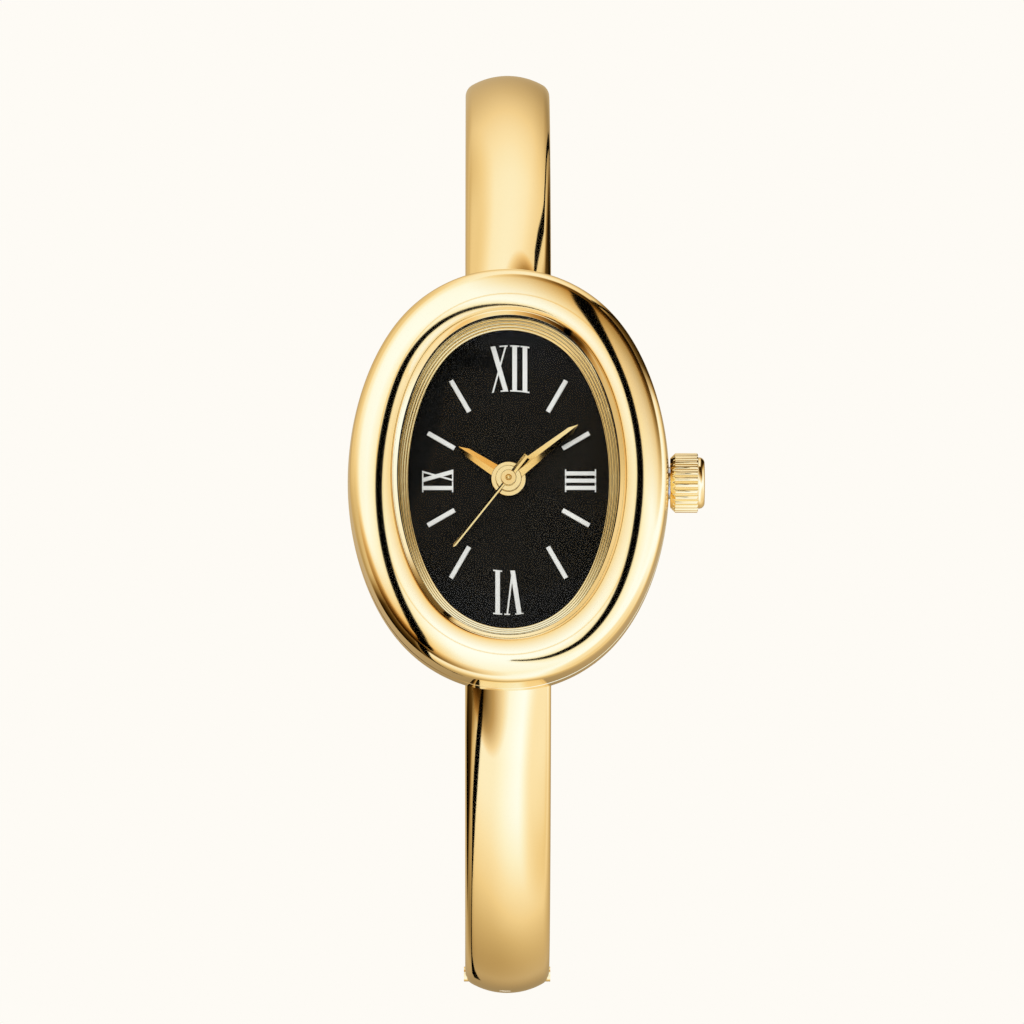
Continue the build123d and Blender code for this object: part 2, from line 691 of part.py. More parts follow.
def toothed_face(teeth, root, tip, root_share, tip_share, first):
    """Face with straight-sided teeth, the first of them in a direction.

    The two shares give the width of a tooth at its root and at its tip, of the pitch.
    """
    pitch = 360 / teeth
    half_root, half_tip = root_share * pitch / 2, tip_share * pitch / 2
    corners = ((root, -half_root), (tip, -half_tip), (tip, half_tip), (root, half_root))
    points = []
    for tooth in range(teeth):
        points += [polar(radius, first + tooth * pitch + turn) for radius, turn in corners]
    return make_face(Polyline(*points, close=True).edges())


def gear(place, teeth, module, direction, low, high, tooth_there=True):
    """Toothed wheel whose tooth, or gap, faces a direction in degrees from 3 o'clock."""
    pitch_radius = teeth * module / 2
    root = pitch_radius - DEDENDUM_SHARE * module
    tip = pitch_radius + ADDENDUM_SHARE * module
    first = direction if tooth_there else direction + 360 / teeth / 2
    face = toothed_face(teeth, root, tip, TOOTH_ROOT_SHARE, TOOTH_TIP_SHARE, first)
    return extrude(front_plane(low) * Pos(*place) * face, amount=high - low)


def arbor(place):
    """Thin arbor that runs in the bridge at one end and in the plate at the other."""
    return disc(place, ARBOR_RADIUS, movement_back_depth + ARBOR_END_GAP, plate_front_depth - ARBOR_END_GAP)


def arbor_hole(place, radius, low, high):
    """Hole that an arbor runs in."""
    return disc(place, radius + ARBOR_FIT, low - OVERRUN, high + OVERRUN)


def make_seconds_wheel():
    """Centre seconds wheel, its pinion and the long arbor that carries the seconds hand."""
    low = plate_back_depth + SECONDS_WHEEL_LEVEL
    wheel = gear((0, 0), SECONDS_TEETH, seconds_module, INTERMEDIATE_DIRECTION, low, low + WHEEL_THICKNESS)
    pinion_low = low + WHEEL_THICKNESS
    wheel += gear((0, 0), PINION_LEAVES, third_module, THIRD_DIRECTION, pinion_low,
                  pinion_low + SECONDS_PINION_LENGTH, tooth_there=False)
    hand_top = dial_face_depth + SECONDS_RISE + HUB_THICKNESS
    return wheel + disc((0, 0), CENTRE_ARBOR_RADIUS, movement_back_depth + ARBOR_END_GAP, hand_top)


def make_third_wheel():
    """Third wheel, between the seconds pinion and the centre wheel."""
    low = plate_back_depth + THIRD_WHEEL_LEVEL
    wheel = gear(third_place, THIRD_TEETH, third_module, THIRD_DIRECTION + 180, low, low + WHEEL_THICKNESS)
    centre_low = plate_back_depth + CENTRE_WHEEL_LEVEL
    pinion_low = centre_low + WHEEL_THICKNESS / 2 - THIRD_PINION_LENGTH / 2
    wheel += gear(third_place, PINION_LEAVES, centre_module, THIRD_DIRECTION + 180, pinion_low,
                  pinion_low + THIRD_PINION_LENGTH, tooth_there=False)
    return wheel + arbor(third_place)


def make_centre_wheel():
    """Centre wheel with the cannon pinion that carries the minute hand."""
    low = plate_back_depth + CENTRE_WHEEL_LEVEL
    wheel = gear((0, 0), CENTRE_TEETH, centre_module, THIRD_DIRECTION, low, low + WHEEL_THICKNESS)
    leaves_low = plate_front_depth + ARBOR_END_GAP / 2
    wheel += gear((0, 0), CANNON_LEAVES, cannon_module, MOTION_DIRECTION, leaves_low,
                  plate_front_depth + MINUTE_WHEEL_LEVEL + MOTION_WHEEL_THICKNESS, tooth_there=False)
    hand_top = dial_face_depth + MINUTE_RISE + HUB_THICKNESS
    wheel += disc((0, 0), CANNON_RADIUS, low, hand_top)
    return wheel - disc((0, 0), CANNON_BORE_RADIUS, low - OVERRUN, hand_top + OVERRUN)


def make_minute_wheel():
    """Minute wheel of the motion work, on the dial's side of the plate."""
    low = plate_front_depth + MINUTE_WHEEL_LEVEL
    toward = MOTION_DIRECTION + 180
    wheel = gear(minute_wheel_place, MINUTE_WHEEL_TEETH, cannon_module, toward, low,
                 low + MOTION_WHEEL_THICKNESS)
    pinion_top = plate_front_depth + HOUR_WHEEL_LEVEL + MOTION_WHEEL_THICKNESS
    wheel += gear(minute_wheel_place, PINION_LEAVES, hour_module, toward, low, pinion_top, tooth_there=False)
    stud_low = plate_front_depth - MINUTE_STUD_REACH
    return wheel + disc(minute_wheel_place, ARBOR_RADIUS, stud_low, pinion_top)


def make_hour_wheel():
    """Hour wheel and the pipe that carries the hour hand."""
    low = plate_front_depth + HOUR_WHEEL_LEVEL
    wheel = gear((0, 0), HOUR_TEETH, hour_module, MOTION_DIRECTION, low, low + MOTION_WHEEL_THICKNESS)
    hand_top = dial_face_depth + HOUR_RISE + HUB_THICKNESS
    wheel += disc((0, 0), HOUR_PIPE_RADIUS, low, hand_top)
    return wheel - disc((0, 0), HOUR_PIPE_BORE_RADIUS, low - OVERRUN, hand_top + OVERRUN)


def make_intermediate_wheel():
    """Wheel between the rotor and the seconds wheel."""
    low = plate_back_depth + INTERMEDIATE_WHEEL_LEVEL
    wheel = gear(intermediate_place, INTERMEDIATE_TEETH, ROTOR_MODULE, ROTOR_DIRECTION, low,
                 low + WHEEL_THICKNESS)
    pinion_low = plate_back_depth + INTERMEDIATE_PINION_LEVEL
    wheel += gear(intermediate_place, PINION_LEAVES, seconds_module, INTERMEDIATE_DIRECTION + 180, pinion_low,
                  pinion_low + INTERMEDIATE_PINION_LENGTH, tooth_there=False)
    return wheel + arbor(intermediate_place)


def make_rotor():
    """Rotor of the stepping motor: round magnet, pinion and arbor."""
    magnet_low = plate_back_depth + ROTOR_MAGNET_LEVEL
    rotor = disc(rotor_place, ROTOR_MAGNET_RADIUS, magnet_low, magnet_low + ROTOR_MAGNET_THICKNESS)
    pinion_low = plate_back_depth + ROTOR_PINION_LEVEL
    rotor += gear(rotor_place, PINION_LEAVES, ROTOR_MODULE, ROTOR_DIRECTION + 180, pinion_low,
                  pinion_low + ROTOR_PINION_LENGTH, tooth_there=False)
    return rotor + arbor(rotor_place)


def stator_shape(grow, low, high):
    """The stator's plate with its two legs, or its pocket when it is grown."""
    half = STATOR_HALF_WIDTH + grow
    shape = block(-half, half, STATOR_LOW_Z - grow, STATOR_HIGH_Z + grow, low, high)
    for side in (1, -1):
        inner = side * (STATOR_HALF_WIDTH - STATOR_LEG_WIDTH - grow)
        ends = sorted((side * half, inner))
        shape += block(ends[0], ends[1], STATOR_HIGH_Z - OVERRUN, STATOR_LEG_TOP_Z + grow, low, high)
    return shape


def make_stator():
    """Soft iron stator with the rotor's hole and its two narrow slits."""
    low, high = train_floor_depth - STATOR_THICKNESS, train_floor_depth
    stator = stator_shape(0, low, high)
    stator -= disc(rotor_place, STATOR_HOLE_RADIUS, low - OVERRUN, high + OVERRUN)
    x, z = rotor_place
    half = STATOR_SLIT / 2
    for z_low, z_high in ((STATOR_LOW_Z - OVERRUN, z), (z, STATOR_HIGH_Z - STATOR_SLIT)):
        stator -= block(x - half, x + half, z_low, z_high, low - OVERRUN, high + OVERRUN)
    return stator


def make_coil_core():
    """Flat iron core that lies on the stator's legs and runs through the winding."""
    half = STATOR_HALF_WIDTH
    return block(-half, half, COIL_Z - COIL_CORE_WIDTH / 2, COIL_Z + COIL_CORE_WIDTH / 2,
                 coil_depth - COIL_CORE_THICKNESS / 2, coil_depth + COIL_CORE_THICKNESS / 2)


def make_coil_winding():
    """Copper winding round the core."""
    winding = cross_rod(coil_depth, COIL_Z, COIL_RADIUS, -COIL_HALF_LENGTH, COIL_HALF_LENGTH)
    return winding - make_coil_core()


def make_battery():
    """Button cell: can with the smaller lid of its negative pole towards the dial."""
    top = movement_back_depth + CLIP_THICKNESS
    lid_low = top + BATTERY_THICKNESS - BATTERY_RIM_HEIGHT
    can = disc((0, battery_z), BATTERY_RADIUS, top, lid_low)
    return can + disc((0, battery_z), BATTERY_RADIUS - BATTERY_RIM_STEP, lid_low, top + BATTERY_THICKNESS)


def make_battery_clip():
    """Strap that holds the cell down, with a foot on each side of it."""
    low = movement_back_depth
    half = BATTERY_RADIUS + BATTERY_FIT + CLIP_TAB
    z_low, z_high = battery_z - CLIP_WIDTH / 2, battery_z + CLIP_WIDTH / 2
    clip = block(-half, half, z_low, z_high, low, low + CLIP_THICKNESS)
    clip += block(half - CLIP_LEG, half, z_low, z_high, low, plate_back_depth)
    return clip + block(-half, CLIP_LEG - half, z_low, z_high, low, plate_back_depth - BOARD_THICKNESS)


def make_circuit_board():
    """Board on the left of the cell, with its chip."""
    low, high = plate_back_depth - BOARD_THICKNESS, plate_back_depth
    board = cushion(BRIDGE_INSET, low, high)
    board &= block(-movement_half_width, BOARD_INNER_X, -movement_half_height, BOARD_TOP_Z, low, high)
    board -= disc((0, battery_z), BATTERY_RADIUS + BOARD_BATTERY_GAP, low - OVERRUN, high + OVERRUN)
    x, z = CHIP_PLACE
    half = CHIP_SIDE / 2
    board = board.solids().sort_by(SortBy.VOLUME)[-1]
    return board + block(x - half, x + half, z - half, z + half, low - CHIP_THICKNESS, low)


def can_rod(grow):
    """The quartz can's cylinder, or its pocket when it is grown."""
    start = Plane(origin=(can_x, -plate_back_depth - CAN_FIT - CAN_RADIUS, CAN_LOW_Z - grow), z_dir=(0, 0, 1))
    return extrude(start * Circle(CAN_RADIUS + grow), amount=CAN_LENGTH + 2 * grow)


def make_quartz_can():
    """Can of the quartz crystal, in its trough under the board."""
    return can_rod(0)


def lever_shape(grow, low, high):
    """Setting lever's outline: boss, arm and eye over the stem's groove, or its pocket when grown."""
    pin_x = lever_pin_rest_x
    pivot = Vector(LEVER_PIVOT_X, LEVER_PIVOT_Z)
    eye = Vector(pin_x, 0)
    shape = disc((pivot.X, pivot.Y), LEVER_BOSS_RADIUS + grow, low, high)
    shape += disc((eye.X, eye.Y), LEVER_ARM_WIDTH / 2 + grow, low, high)
    lean = degrees(atan2(eye.X - pivot.X, eye.Y - pivot.Y))
    arm = Pos(pivot.X, pivot.Y) * Rot(0, 0, -lean) * Pos(0, (eye - pivot).length / 2)
    face = arm * Rectangle(LEVER_ARM_WIDTH + 2 * grow, (eye - pivot).length)
    return shape + extrude(front_plane(low) * face, amount=high - low)


def make_setting_lever():
    """Setting lever, whose pin rides in the stem's groove."""
    low, high = lever_low_depth, lever_low_depth + LEVER_THICKNESS
    lever = lever_shape(0, low, high)
    pin_top = stem_depth - STEM_GROOVE_RADIUS - STEM_HOLE_FIT
    lever += disc((lever_pin_rest_x, 0), LEVER_PIN_RADIUS, high, pin_top)
    pivot = (LEVER_PIVOT_X, LEVER_PIVOT_Z)
    return lever + disc(pivot, LEVER_STUD_RADIUS, high, train_floor_depth)


def make_main_plate():
    """Main plate with a pocket for each piece that it carries."""
    low, high = plate_back_depth, plate_front_depth
    plate = cushion(0, low, high)
    start = low - OVERRUN
    for place, teeth, module in (
        ((0, 0), CENTRE_TEETH, centre_module),
        (third_place, THIRD_TEETH, third_module),
        (intermediate_place, INTERMEDIATE_TEETH, ROTOR_MODULE),
    ):
        radius = teeth * module / 2 + module + WHEEL_POCKET_GAP
        plate -= disc(place, radius, start, train_floor_depth)
    plate -= stator_shape(COIL_POCKET_GAP, start, train_floor_depth)
    coil_half = STATOR_HALF_WIDTH + COIL_POCKET_GAP
    coil_reach = COIL_RADIUS + COIL_POCKET_GAP
    coil_floor = coil_depth + COIL_RADIUS + COIL_POCKET_GAP
    plate -= block(-coil_half, coil_half, COIL_Z - coil_reach, COIL_Z + coil_reach, start, coil_floor)
    battery_floor = movement_back_depth + CLIP_THICKNESS + BATTERY_THICKNESS
    plate -= disc((0, battery_z), BATTERY_RADIUS + BATTERY_FIT, start, battery_floor)
    plate -= can_rod(CAN_FIT)
    plate -= block(can_x - CAN_RADIUS - CAN_FIT, can_x + CAN_RADIUS + CAN_FIT, CAN_LOW_Z - CAN_FIT,
                   CAN_LOW_Z + CAN_LENGTH + CAN_FIT, start, low + CAN_FIT + CAN_RADIUS)
    lever_floor = lever_low_depth + LEVER_THICKNESS + LEVER_POCKET_GAP
    sweep = CROWN_PULL + LEVER_ARM_WIDTH + LEVER_POCKET_GAP
    plate -= block(LEVER_PIVOT_X - sweep, LEVER_PIVOT_X + sweep - LEVER_BOSS_RADIUS / 2,
                   LEVER_PIVOT_Z - LEVER_BOSS_RADIUS - LEVER_POCKET_GAP, LEVER_ARM_WIDTH, start, lever_floor)
    pinion_half = SLIDING_PINION_RADIUS + SLIDING_PINION_GAP
    pinion_end = STEM_TIP_X + SLIDING_PINION_GAP * 2 + SLIDING_PINION_LENGTH
    plate -= block(STEM_TIP_X - SLIDING_PINION_GAP, pinion_end, -pinion_half, pinion_half, start, stem_depth)
    plate -= cross_rod(stem_depth, 0, pinion_half, STEM_TIP_X - SLIDING_PINION_GAP, pinion_end)
    stem_hole = STEM_RADIUS + STEM_HOLE_FIT
    plate -= cross_rod(stem_depth, 0, stem_hole, STEM_TIP_X, movement_half_width + OVERRUN)
    plate -= block(lever_pin_rest_x - sweep / 2, lever_pin_rest_x + sweep, -stem_hole, stem_hole, start,
                   stem_depth)
    plate -= disc((0, 0), CANNON_RADIUS + ARBOR_FIT, start, high + OVERRUN)
    for place in (third_place, intermediate_place, rotor_place, minute_wheel_place):
        plate -= arbor_hole(place, ARBOR_RADIUS, low, high)
    for place in DIAL_FOOT_PLACES:
        plate -= disc(place, DIAL_FOOT_RADIUS + ARBOR_FIT, high - DIAL_FOOT_LENGTH, high + OVERRUN)
    plate -= disc((LEVER_PIVOT_X, LEVER_PIVOT_Z), LEVER_STUD_RADIUS + ARBOR_FIT, start, train_floor_depth)
    screw_end = movement_back_depth + SCREW_HEAD_HEIGHT + SCREW_SHANK_LENGTH
    for place in SCREW_PLACES:
        plate -= disc(place, SCREW_SHANK_RADIUS, start, screw_end)
    return plate


def make_train_bridge():
    """Bridge over the wheels, with the holes of their upper pivots."""
    low, high = movement_back_depth, plate_back_depth
    bridge = cushion(BRIDGE_INSET, low, high)
    bridge &= block(-movement_half_width, movement_half_width, BRIDGE_LOW_Z, BRIDGE_HIGH_Z, low, high)
    bridge -= disc((0, battery_z), BATTERY_RADIUS + BOARD_BATTERY_GAP, low - OVERRUN, high + OVERRUN)
    bridge -= arbor_hole((0, 0), CENTRE_ARBOR_RADIUS, low, high)
    for place in (third_place, intermediate_place, rotor_place):
        bridge -= arbor_hole(place, ARBOR_RADIUS, low, high)
    for place in SCREW_PLACES:
        bridge -= disc(place, SCREW_HEAD_RADIUS + ARBOR_FIT, low - OVERRUN, low + SCREW_HEAD_HEIGHT)
        bridge -= disc(place, SCREW_SHANK_RADIUS + ARBOR_FIT, low - OVERRUN, high + OVERRUN)
    return bridge


def slotted_screw(place, low, head_radius, head_height, shank_radius, length):
    """Cheese-head screw with its slot towards the wrist."""
    head = disc(place, head_radius, low, low + head_height)
    slot = block(place[0] - head_radius - OVERRUN, place[0] + head_radius + OVERRUN,
                 place[1] - SCREW_SLOT_WIDTH / 2, place[1] + SCREW_SLOT_WIDTH / 2,
                 low - OVERRUN, low + SCREW_SLOT_DEPTH)
    return head - slot + disc(place, shank_radius, low + head_height, low + head_height + length)


def make_bridge_screws():
    """Screws that hold the bridge."""
    screws = [slotted_screw(place, movement_back_depth, SCREW_HEAD_RADIUS, SCREW_HEAD_HEIGHT,
                            SCREW_SHANK_RADIUS, SCREW_SHANK_LENGTH) for place in SCREW_PLACES]
    return Compound(children=[screw.solid() for screw in screws])


def make_arm_screws():
    """Two screws through the case's back into the arms' tenons."""
    length = tenon_high_depth - ARM_SCREW_END_GAP - case_back_depth - ARM_SCREW_HEAD_HEIGHT
    screws = [slotted_screw((0, side * arm_screw_z), case_back_depth, ARM_SCREW_HEAD_RADIUS,
                            ARM_SCREW_HEAD_HEIGHT, ARM_SCREW_SHANK_RADIUS, length) for side in (1, -1)]
    return Compound(children=[screw.solid() for screw in screws])


def make_movement_holder():
    """Plastic ring that centres the movement in the case."""
    low = movement_back_depth + HOLDER_START
    high = dial_back_depth - HOLDER_END_GAP
    ring = oval_plate(MOVEMENT_BORE_INSET + HOLDER_FIT, low, high)
    ring -= cushion(-HOLDER_FIT, low - OVERRUN, high + OVERRUN)
    hole = STEM_RADIUS + STEM_HOLE_FIT
    slot_high = movement_half_width - HOLDER_FIT
    return ring - block(slot_high, case_half_width, -hole, hole, low - OVERRUN, stem_depth + hole)


def make_caseback():
    """Caseback: thin rim, boss in the case's bore and a notch to lift it by."""
    low = back_depth
    rim = oval_plate(CASEBACK_INSET, low, case_back_depth)
    rim = chamfer(rim.faces().sort_by(Axis.Y)[-1].edges(), CASEBACK_EDGE)
    boss = oval_plate(BACK_BORE_INSET + BACK_BORE_FIT, case_back_depth, case_back_depth + CASEBACK_BOSS)
    edge = case_half_width - CASEBACK_INSET
    notch = block(-edge - OVERRUN, PRY_NOTCH_REACH - edge, -PRY_NOTCH_WIDTH / 2, PRY_NOTCH_WIDTH / 2,
                  low + CASEBACK_RIM / 2, case_back_depth + OVERRUN)
    return rim - notch + boss


def make_caseback_gasket():
    """Gasket in the groove round the caseback's bore."""
    outer = BACK_BORE_INSET - GASKET_GROOVE + GASKET_FIT
    inner = BACK_BORE_INSET - GASKET_FIT
    return oval_band(outer, inner, case_back_depth, case_back_depth + GASKET_GROOVE_DEPTH - GASKET_FIT)


def make_case_tube():
    """Tube pressed in the case, which the stem runs through."""
    x_low = case_half_width - MOVEMENT_BORE_INSET
    x_high = case_half_width + TUBE_STANDS_OUT
    body = cross_rod(stem_depth, 0, TUBE_RADIUS, x_low, x_high)
    return body - cross_rod(stem_depth, 0, TUBE_BORE_RADIUS, x_low - OVERRUN, x_high + OVERRUN)


def stem_plane(x):
    """Plane across the stem at an X, with the stem's axis as its normal."""
    return Plane(origin=(x, -stem_depth, 0), x_dir=(0, 1, 0), z_dir=(1, 0, 0))


def make_crown():
    """Fluted crown with a chamfer towards the case, a rounded cap and a recess for the tube."""
    face = toothed_face(CROWN_FLUTES, CROWN_ROOT_RADIUS, CROWN_RADIUS, FLUTE_ROOT_SHARE, FLUTE_CREST_SHARE, 0)
    body = extrude(stem_plane(crown_start) * face, amount=CROWN_BODY_LENGTH)
    blank = extrude(stem_plane(crown_start) * Circle(CROWN_RADIUS), amount=CROWN_BODY_LENGTH)
    blank = chamfer(blank.faces().sort_by(Axis.X)[0].edges(), CROWN_CHAMFER)
    cap = extrude(stem_plane(crown_body_end) * Circle(CROWN_CAP_RADIUS), amount=CROWN_CAP_RISE)
    cap = chamfer(cap.faces().sort_by(Axis.X)[-1].edges(), CROWN_CAP_CHAMFER)
    crown = (body & blank) + cap
    recess_end = crown_start + CROWN_RECESS_DEPTH
    crown -= cross_rod(stem_depth, 0, CROWN_RECESS_RADIUS, crown_start - OVERRUN, recess_end)
    return crown - cross_rod(stem_depth, 0, STEM_RADIUS, recess_end - OVERRUN, recess_end + STEM_IN_CROWN)


def make_crown_gasket():
    """Seal in the crown's recess, round the tube."""
    x_low = crown_start + CROWN_GASKET_GAP
    ring = cross_rod(stem_depth, 0, CROWN_RECESS_RADIUS, x_low, x_low + CROWN_GASKET_LENGTH)
    return ring - cross_rod(stem_depth, 0, TUBE_RADIUS + CROWN_GASKET_GAP, x_low - OVERRUN,
                            x_low + CROWN_GASKET_LENGTH + OVERRUN)


def make_crown_stem():
    """Stem with its square end and the groove for the setting lever's pin."""
    x_end = crown_start + CROWN_RECESS_DEPTH + STEM_IN_CROWN
    square_end = STEM_TIP_X + STEM_SQUARE_LENGTH
    groove_low = lever_pin_rest_x - STEM_GROOVE_WIDTH / 2
    groove_high = groove_low + STEM_GROOVE_WIDTH
    stem = extrude(stem_plane(STEM_TIP_X) * Rectangle(STEM_SQUARE, STEM_SQUARE), amount=STEM_SQUARE_LENGTH)
    stem = stem & cross_rod(stem_depth, 0, STEM_RADIUS, STEM_TIP_X, groove_low)
    stem += cross_rod(stem_depth, 0, STEM_GROOVE_RADIUS, groove_low, groove_high)
    return stem + cross_rod(stem_depth, 0, STEM_RADIUS, max(groove_high, square_end), x_end)


def make_sliding_pinion():
    """Sliding pinion with the square hole that the stem turns it by."""
    start = STEM_TIP_X + SLIDING_PINION_GAP
    root = SLIDING_PINION_RADIUS - SLIDING_PINION_TOOTH
    face = toothed_face(SLIDING_PINION_TEETH, root, SLIDING_PINION_RADIUS, TOOTH_ROOT_SHARE, TOOTH_TIP_SHARE, 0)
    pinion = extrude(stem_plane(start) * face, amount=SLIDING_PINION_LENGTH)
    side = STEM_SQUARE + 2 * SQUARE_FIT
    return pinion - extrude(stem_plane(start - OVERRUN) * Rectangle(side, side),
                            amount=SLIDING_PINION_LENGTH + 2 * OVERRUN)


# Bangle. Angles run from the front of the wrist (0) over its top (90) to its back (180)
bangle_arcs = four_arcs(bangle_half_depth, BANGLE_HALF_HEIGHT, bangle_end_radius)
bangle_thickness = BANGLE_SIDE_HEIGHT + BANGLE_DOME


def bangle_out(angle):
    """Direction that points outwards from the bangle at an angle, as Y and Z."""
    return -cos(radians(angle)), sin(radians(angle))


def bangle_point(angle, height):
    """Y and Z of a point that stands at a height over the bangle's inner face."""
    turned = (angle + bangle_arcs[0][3] / 2) % 360
    for centre, radius, start, size in bangle_arcs:
        if turned - bangle_arcs[0][3] / 2 <= start + size:
            break
    out = bangle_out(angle)
    return -centre[0] + (radius + height) * out[0], centre[1] + (radius + height) * out[1]


def bangle_section():
    """Right half of the bangle's domed section: flat inside, bevelled edge, arched outside."""
    half, bevel = BANGLE_WIDTH / 2, BANGLE_INNER_CHAMFER
    edges = Polyline(
        (0, bangle_thickness),
        (0, 0),
        (half - bevel, 0),
        (half, bevel),
        (half, BANGLE_SIDE_HEIGHT),
    )
    dome = TangentArc((0, bangle_thickness), (half, BANGLE_SIDE_HEIGHT), tangent=(1, 0))
    return make_face([dome] + list(edges.edges()))


def whole(half):
    """Joins the right half of a piece of the bangle to its mirror image."""
    return half + mirror(half, about=Plane.YZ)


def bangle_band(angle_low, angle_high):
    """Right half of a stretch of the bangle between two angles."""
    band = None
    section = bangle_section()
    for turn in (0, 360):
        for centre, radius, start, size in bangle_arcs:
            low = max(angle_low, start + turn)
            high = min(angle_high, start + size + turn)
            if high <= low:
                continue
            out = bangle_out(low)
            place = Plane(
                origin=(0, -centre[0] + radius * out[0], centre[1] + radius * out[1]),
                x_dir=(1, 0, 0),
                z_dir=(0, -out[1], out[0]),
            )
            axis = Axis((0, -centre[0], centre[1]), (-1, 0, 0))
            piece = revolve(place * section, axis=axis, revolution_arc=high - low)
            band = piece if band is None else band + piece
    return band


hinge_place = bangle_point(HINGE_ANGLE, HINGE_HEIGHT)
mouth_place = bangle_point(MOUTH_ANGLE, TONGUE_HEIGHT)
tongue_radius = hypot(mouth_place[0] - hinge_place[0], mouth_place[1] - hinge_place[1])
mouth_turn = degrees(atan2(mouth_place[0] - hinge_place[0], hinge_place[1] - mouth_place[1]))


def hinge_rod(radius, x_low, x_high):
    """Cylinder on the hinge's axis."""
    return cross_rod(-hinge_place[0], hinge_place[1], radius, x_low, x_high)


def beside_hinge(x_low, x_high, rear):
    """Block on one side of the hinge's axis, square to the bangle there, between two X."""
    out = bangle_out(HINGE_ANGLE)
    reach = KNUCKLE_RADIUS + KNUCKLE_GAP + OVERRUN
    along = (0, -out[1], out[0]) if not rear else (0, out[1], -out[0])
    plane = Plane(origin=(0, hinge_place[0], hinge_place[1]), x_dir=(1, 0, 0), z_dir=along)
    face = Pos((x_low + x_high) / 2, 0) * Rectangle(x_high - x_low, 2 * (bangle_thickness + OVERRUN))
    return extrude(plane * face, amount=reach)


def knuckle(band, x_low, x_high, rear):
    """Knuckle between two X: a round end, and the web that joins it to its own half."""
    reach = beside_hinge(x_low, x_high, rear)
    return band & (hinge_rod(KNUCKLE_RADIUS, x_low, x_high) + reach)


def tongue_sector(x_low, x_high, start, end, half_thickness):
    """Piece of the ring that is centred on the hinge: lengths run from the mouth into the lower arm."""
    low, high = tongue_radius - half_thickness, tongue_radius + half_thickness
    turn_start = mouth_turn - degrees(start / tongue_radius)
    turn_size = degrees((end - start) / tongue_radius)
    out = (sin(radians(turn_start)), -cos(radians(turn_start)))
    plane = Plane(origin=(0, hinge_place[0], hinge_place[1]), x_dir=(1, 0, 0), z_dir=(0, -out[1], out[0]))
    face = Pos((x_low + x_high) / 2, (low + high) / 2) * Rectangle(x_high - x_low, high - low)
    axis = Axis((0, hinge_place[0], hinge_place[1]), (-1, 0, 0))
    return revolve(plane * face, axis=axis, revolution_arc=turn_size)


def button_rod(side, x_low, x_high, radius):
    """Cylinder along X at the buttons' place, on one side."""
    turn = radians(mouth_turn - degrees(BUTTON_PLACE / tongue_radius))
    y = hinge_place[0] + tongue_radius * sin(turn)
    z = hinge_place[1] - tongue_radius * cos(turn)
    ends = sorted((side * x_low, side * x_high))
    return cross_rod(-y, z, radius, ends[0], ends[1])


def front_half(band):
    """Cuts a stretch of the bangle back to the round slot in front of the hinge."""
    return band - hinge_rod(KNUCKLE_RADIUS + KNUCKLE_GAP, -BANGLE_WIDTH, BANGLE_WIDTH)


def arm_tenon(arm, side):
    """Adds the tenon and its screw hole to an arm."""
    arm += tenon(side, 0) - disc((0, side * arm_screw_z), ARM_SCREW_SHANK_RADIUS, tenon_low_depth - OVERRUN,
                                 tenon_high_depth + OVERRUN)
    return arm


def hinge_band():
    """Right half of the short stretch of the bangle round the hinge."""
    reach = degrees(2 * bangle_thickness / bangle_end_radius)
    return bangle_band(HINGE_ANGLE - reach, HINGE_ANGLE + reach)


def make_upper_arm(envelope):
    """Upper front arm, from the case over the wrist to the hinge's outer knuckles."""
    arm = front_half(bangle_band(ARM_START_ANGLE, HINGE_ANGLE)) - envelope
    arm = arm.solids().sort_by(SortBy.VOLUME)[-1]
    arm += knuckle(hinge_band(), outer_knuckle_x, half_width, rear=False)
    arm -= hinge_rod(HINGE_PIN_RADIUS, -BANGLE_WIDTH, BANGLE_WIDTH)
    return arm_tenon(whole(arm), 1)


def make_lower_arm(envelope):
    """Lower front arm, from the case to the mouth of the clasp, with the box for the tongue."""
    arm = bangle_band(MOUTH_ANGLE, 360 - ARM_START_ANGLE) - envelope
    arm = arm.solids().sort_by(SortBy.VOLUME)[-1]
    half_cavity = TONGUE_THICKNESS / 2 + CLASP_FIT
    box_half = TONGUE_HALF_WIDTH + CLASP_FIT
    arm -= tongue_sector(-box_half, box_half, -OVERRUN, TONGUE_LENGTH + CLASP_END_GAP, half_cavity)
    catch_out = TONGUE_HALF_WIDTH + CATCH_REACH + CLASP_FIT
    arm -= tongue_sector(0, catch_out, CATCH_POCKET_START, CATCH_POCKET_END, half_cavity)
    slot_end = BUTTON_PLACE + BUTTON_RADIUS + SLOT_RUN_OUT
    arm -= tongue_sector(0, BANGLE_WIDTH, -OVERRUN, slot_end, BUTTON_RADIUS + CLASP_FIT)
    return arm_tenon(whole(arm), -1)


def make_rear_arm():
    """Rear half of the bangle, from the hinge's middle knuckle round to the clasp."""
    mouth_end = MOUTH_ANGLE - degrees(MOUTH_GAP / bangle_end_radius)
    arm = front_half(bangle_band(HINGE_ANGLE, mouth_end))
    arm += knuckle(hinge_band(), 0, middle_half, rear=True)
    arm -= hinge_rod(HINGE_PIN_RADIUS + HINGE_PIN_FIT, -BANGLE_WIDTH, BANGLE_WIDTH)
    arm -= tongue_sector(-TONGUE_HALF_WIDTH, TONGUE_HALF_WIDTH, -TONGUE_ROOT, OVERRUN, TONGUE_THICKNESS / 2)
    return whole(arm)


def make_hinge_pin():
    """Hinge pin, pressed in the outer knuckles and filed flush with them."""
    return whole(hinge_rod(HINGE_PIN_RADIUS, -BANGLE_WIDTH, BANGLE_WIDTH) & hinge_band())


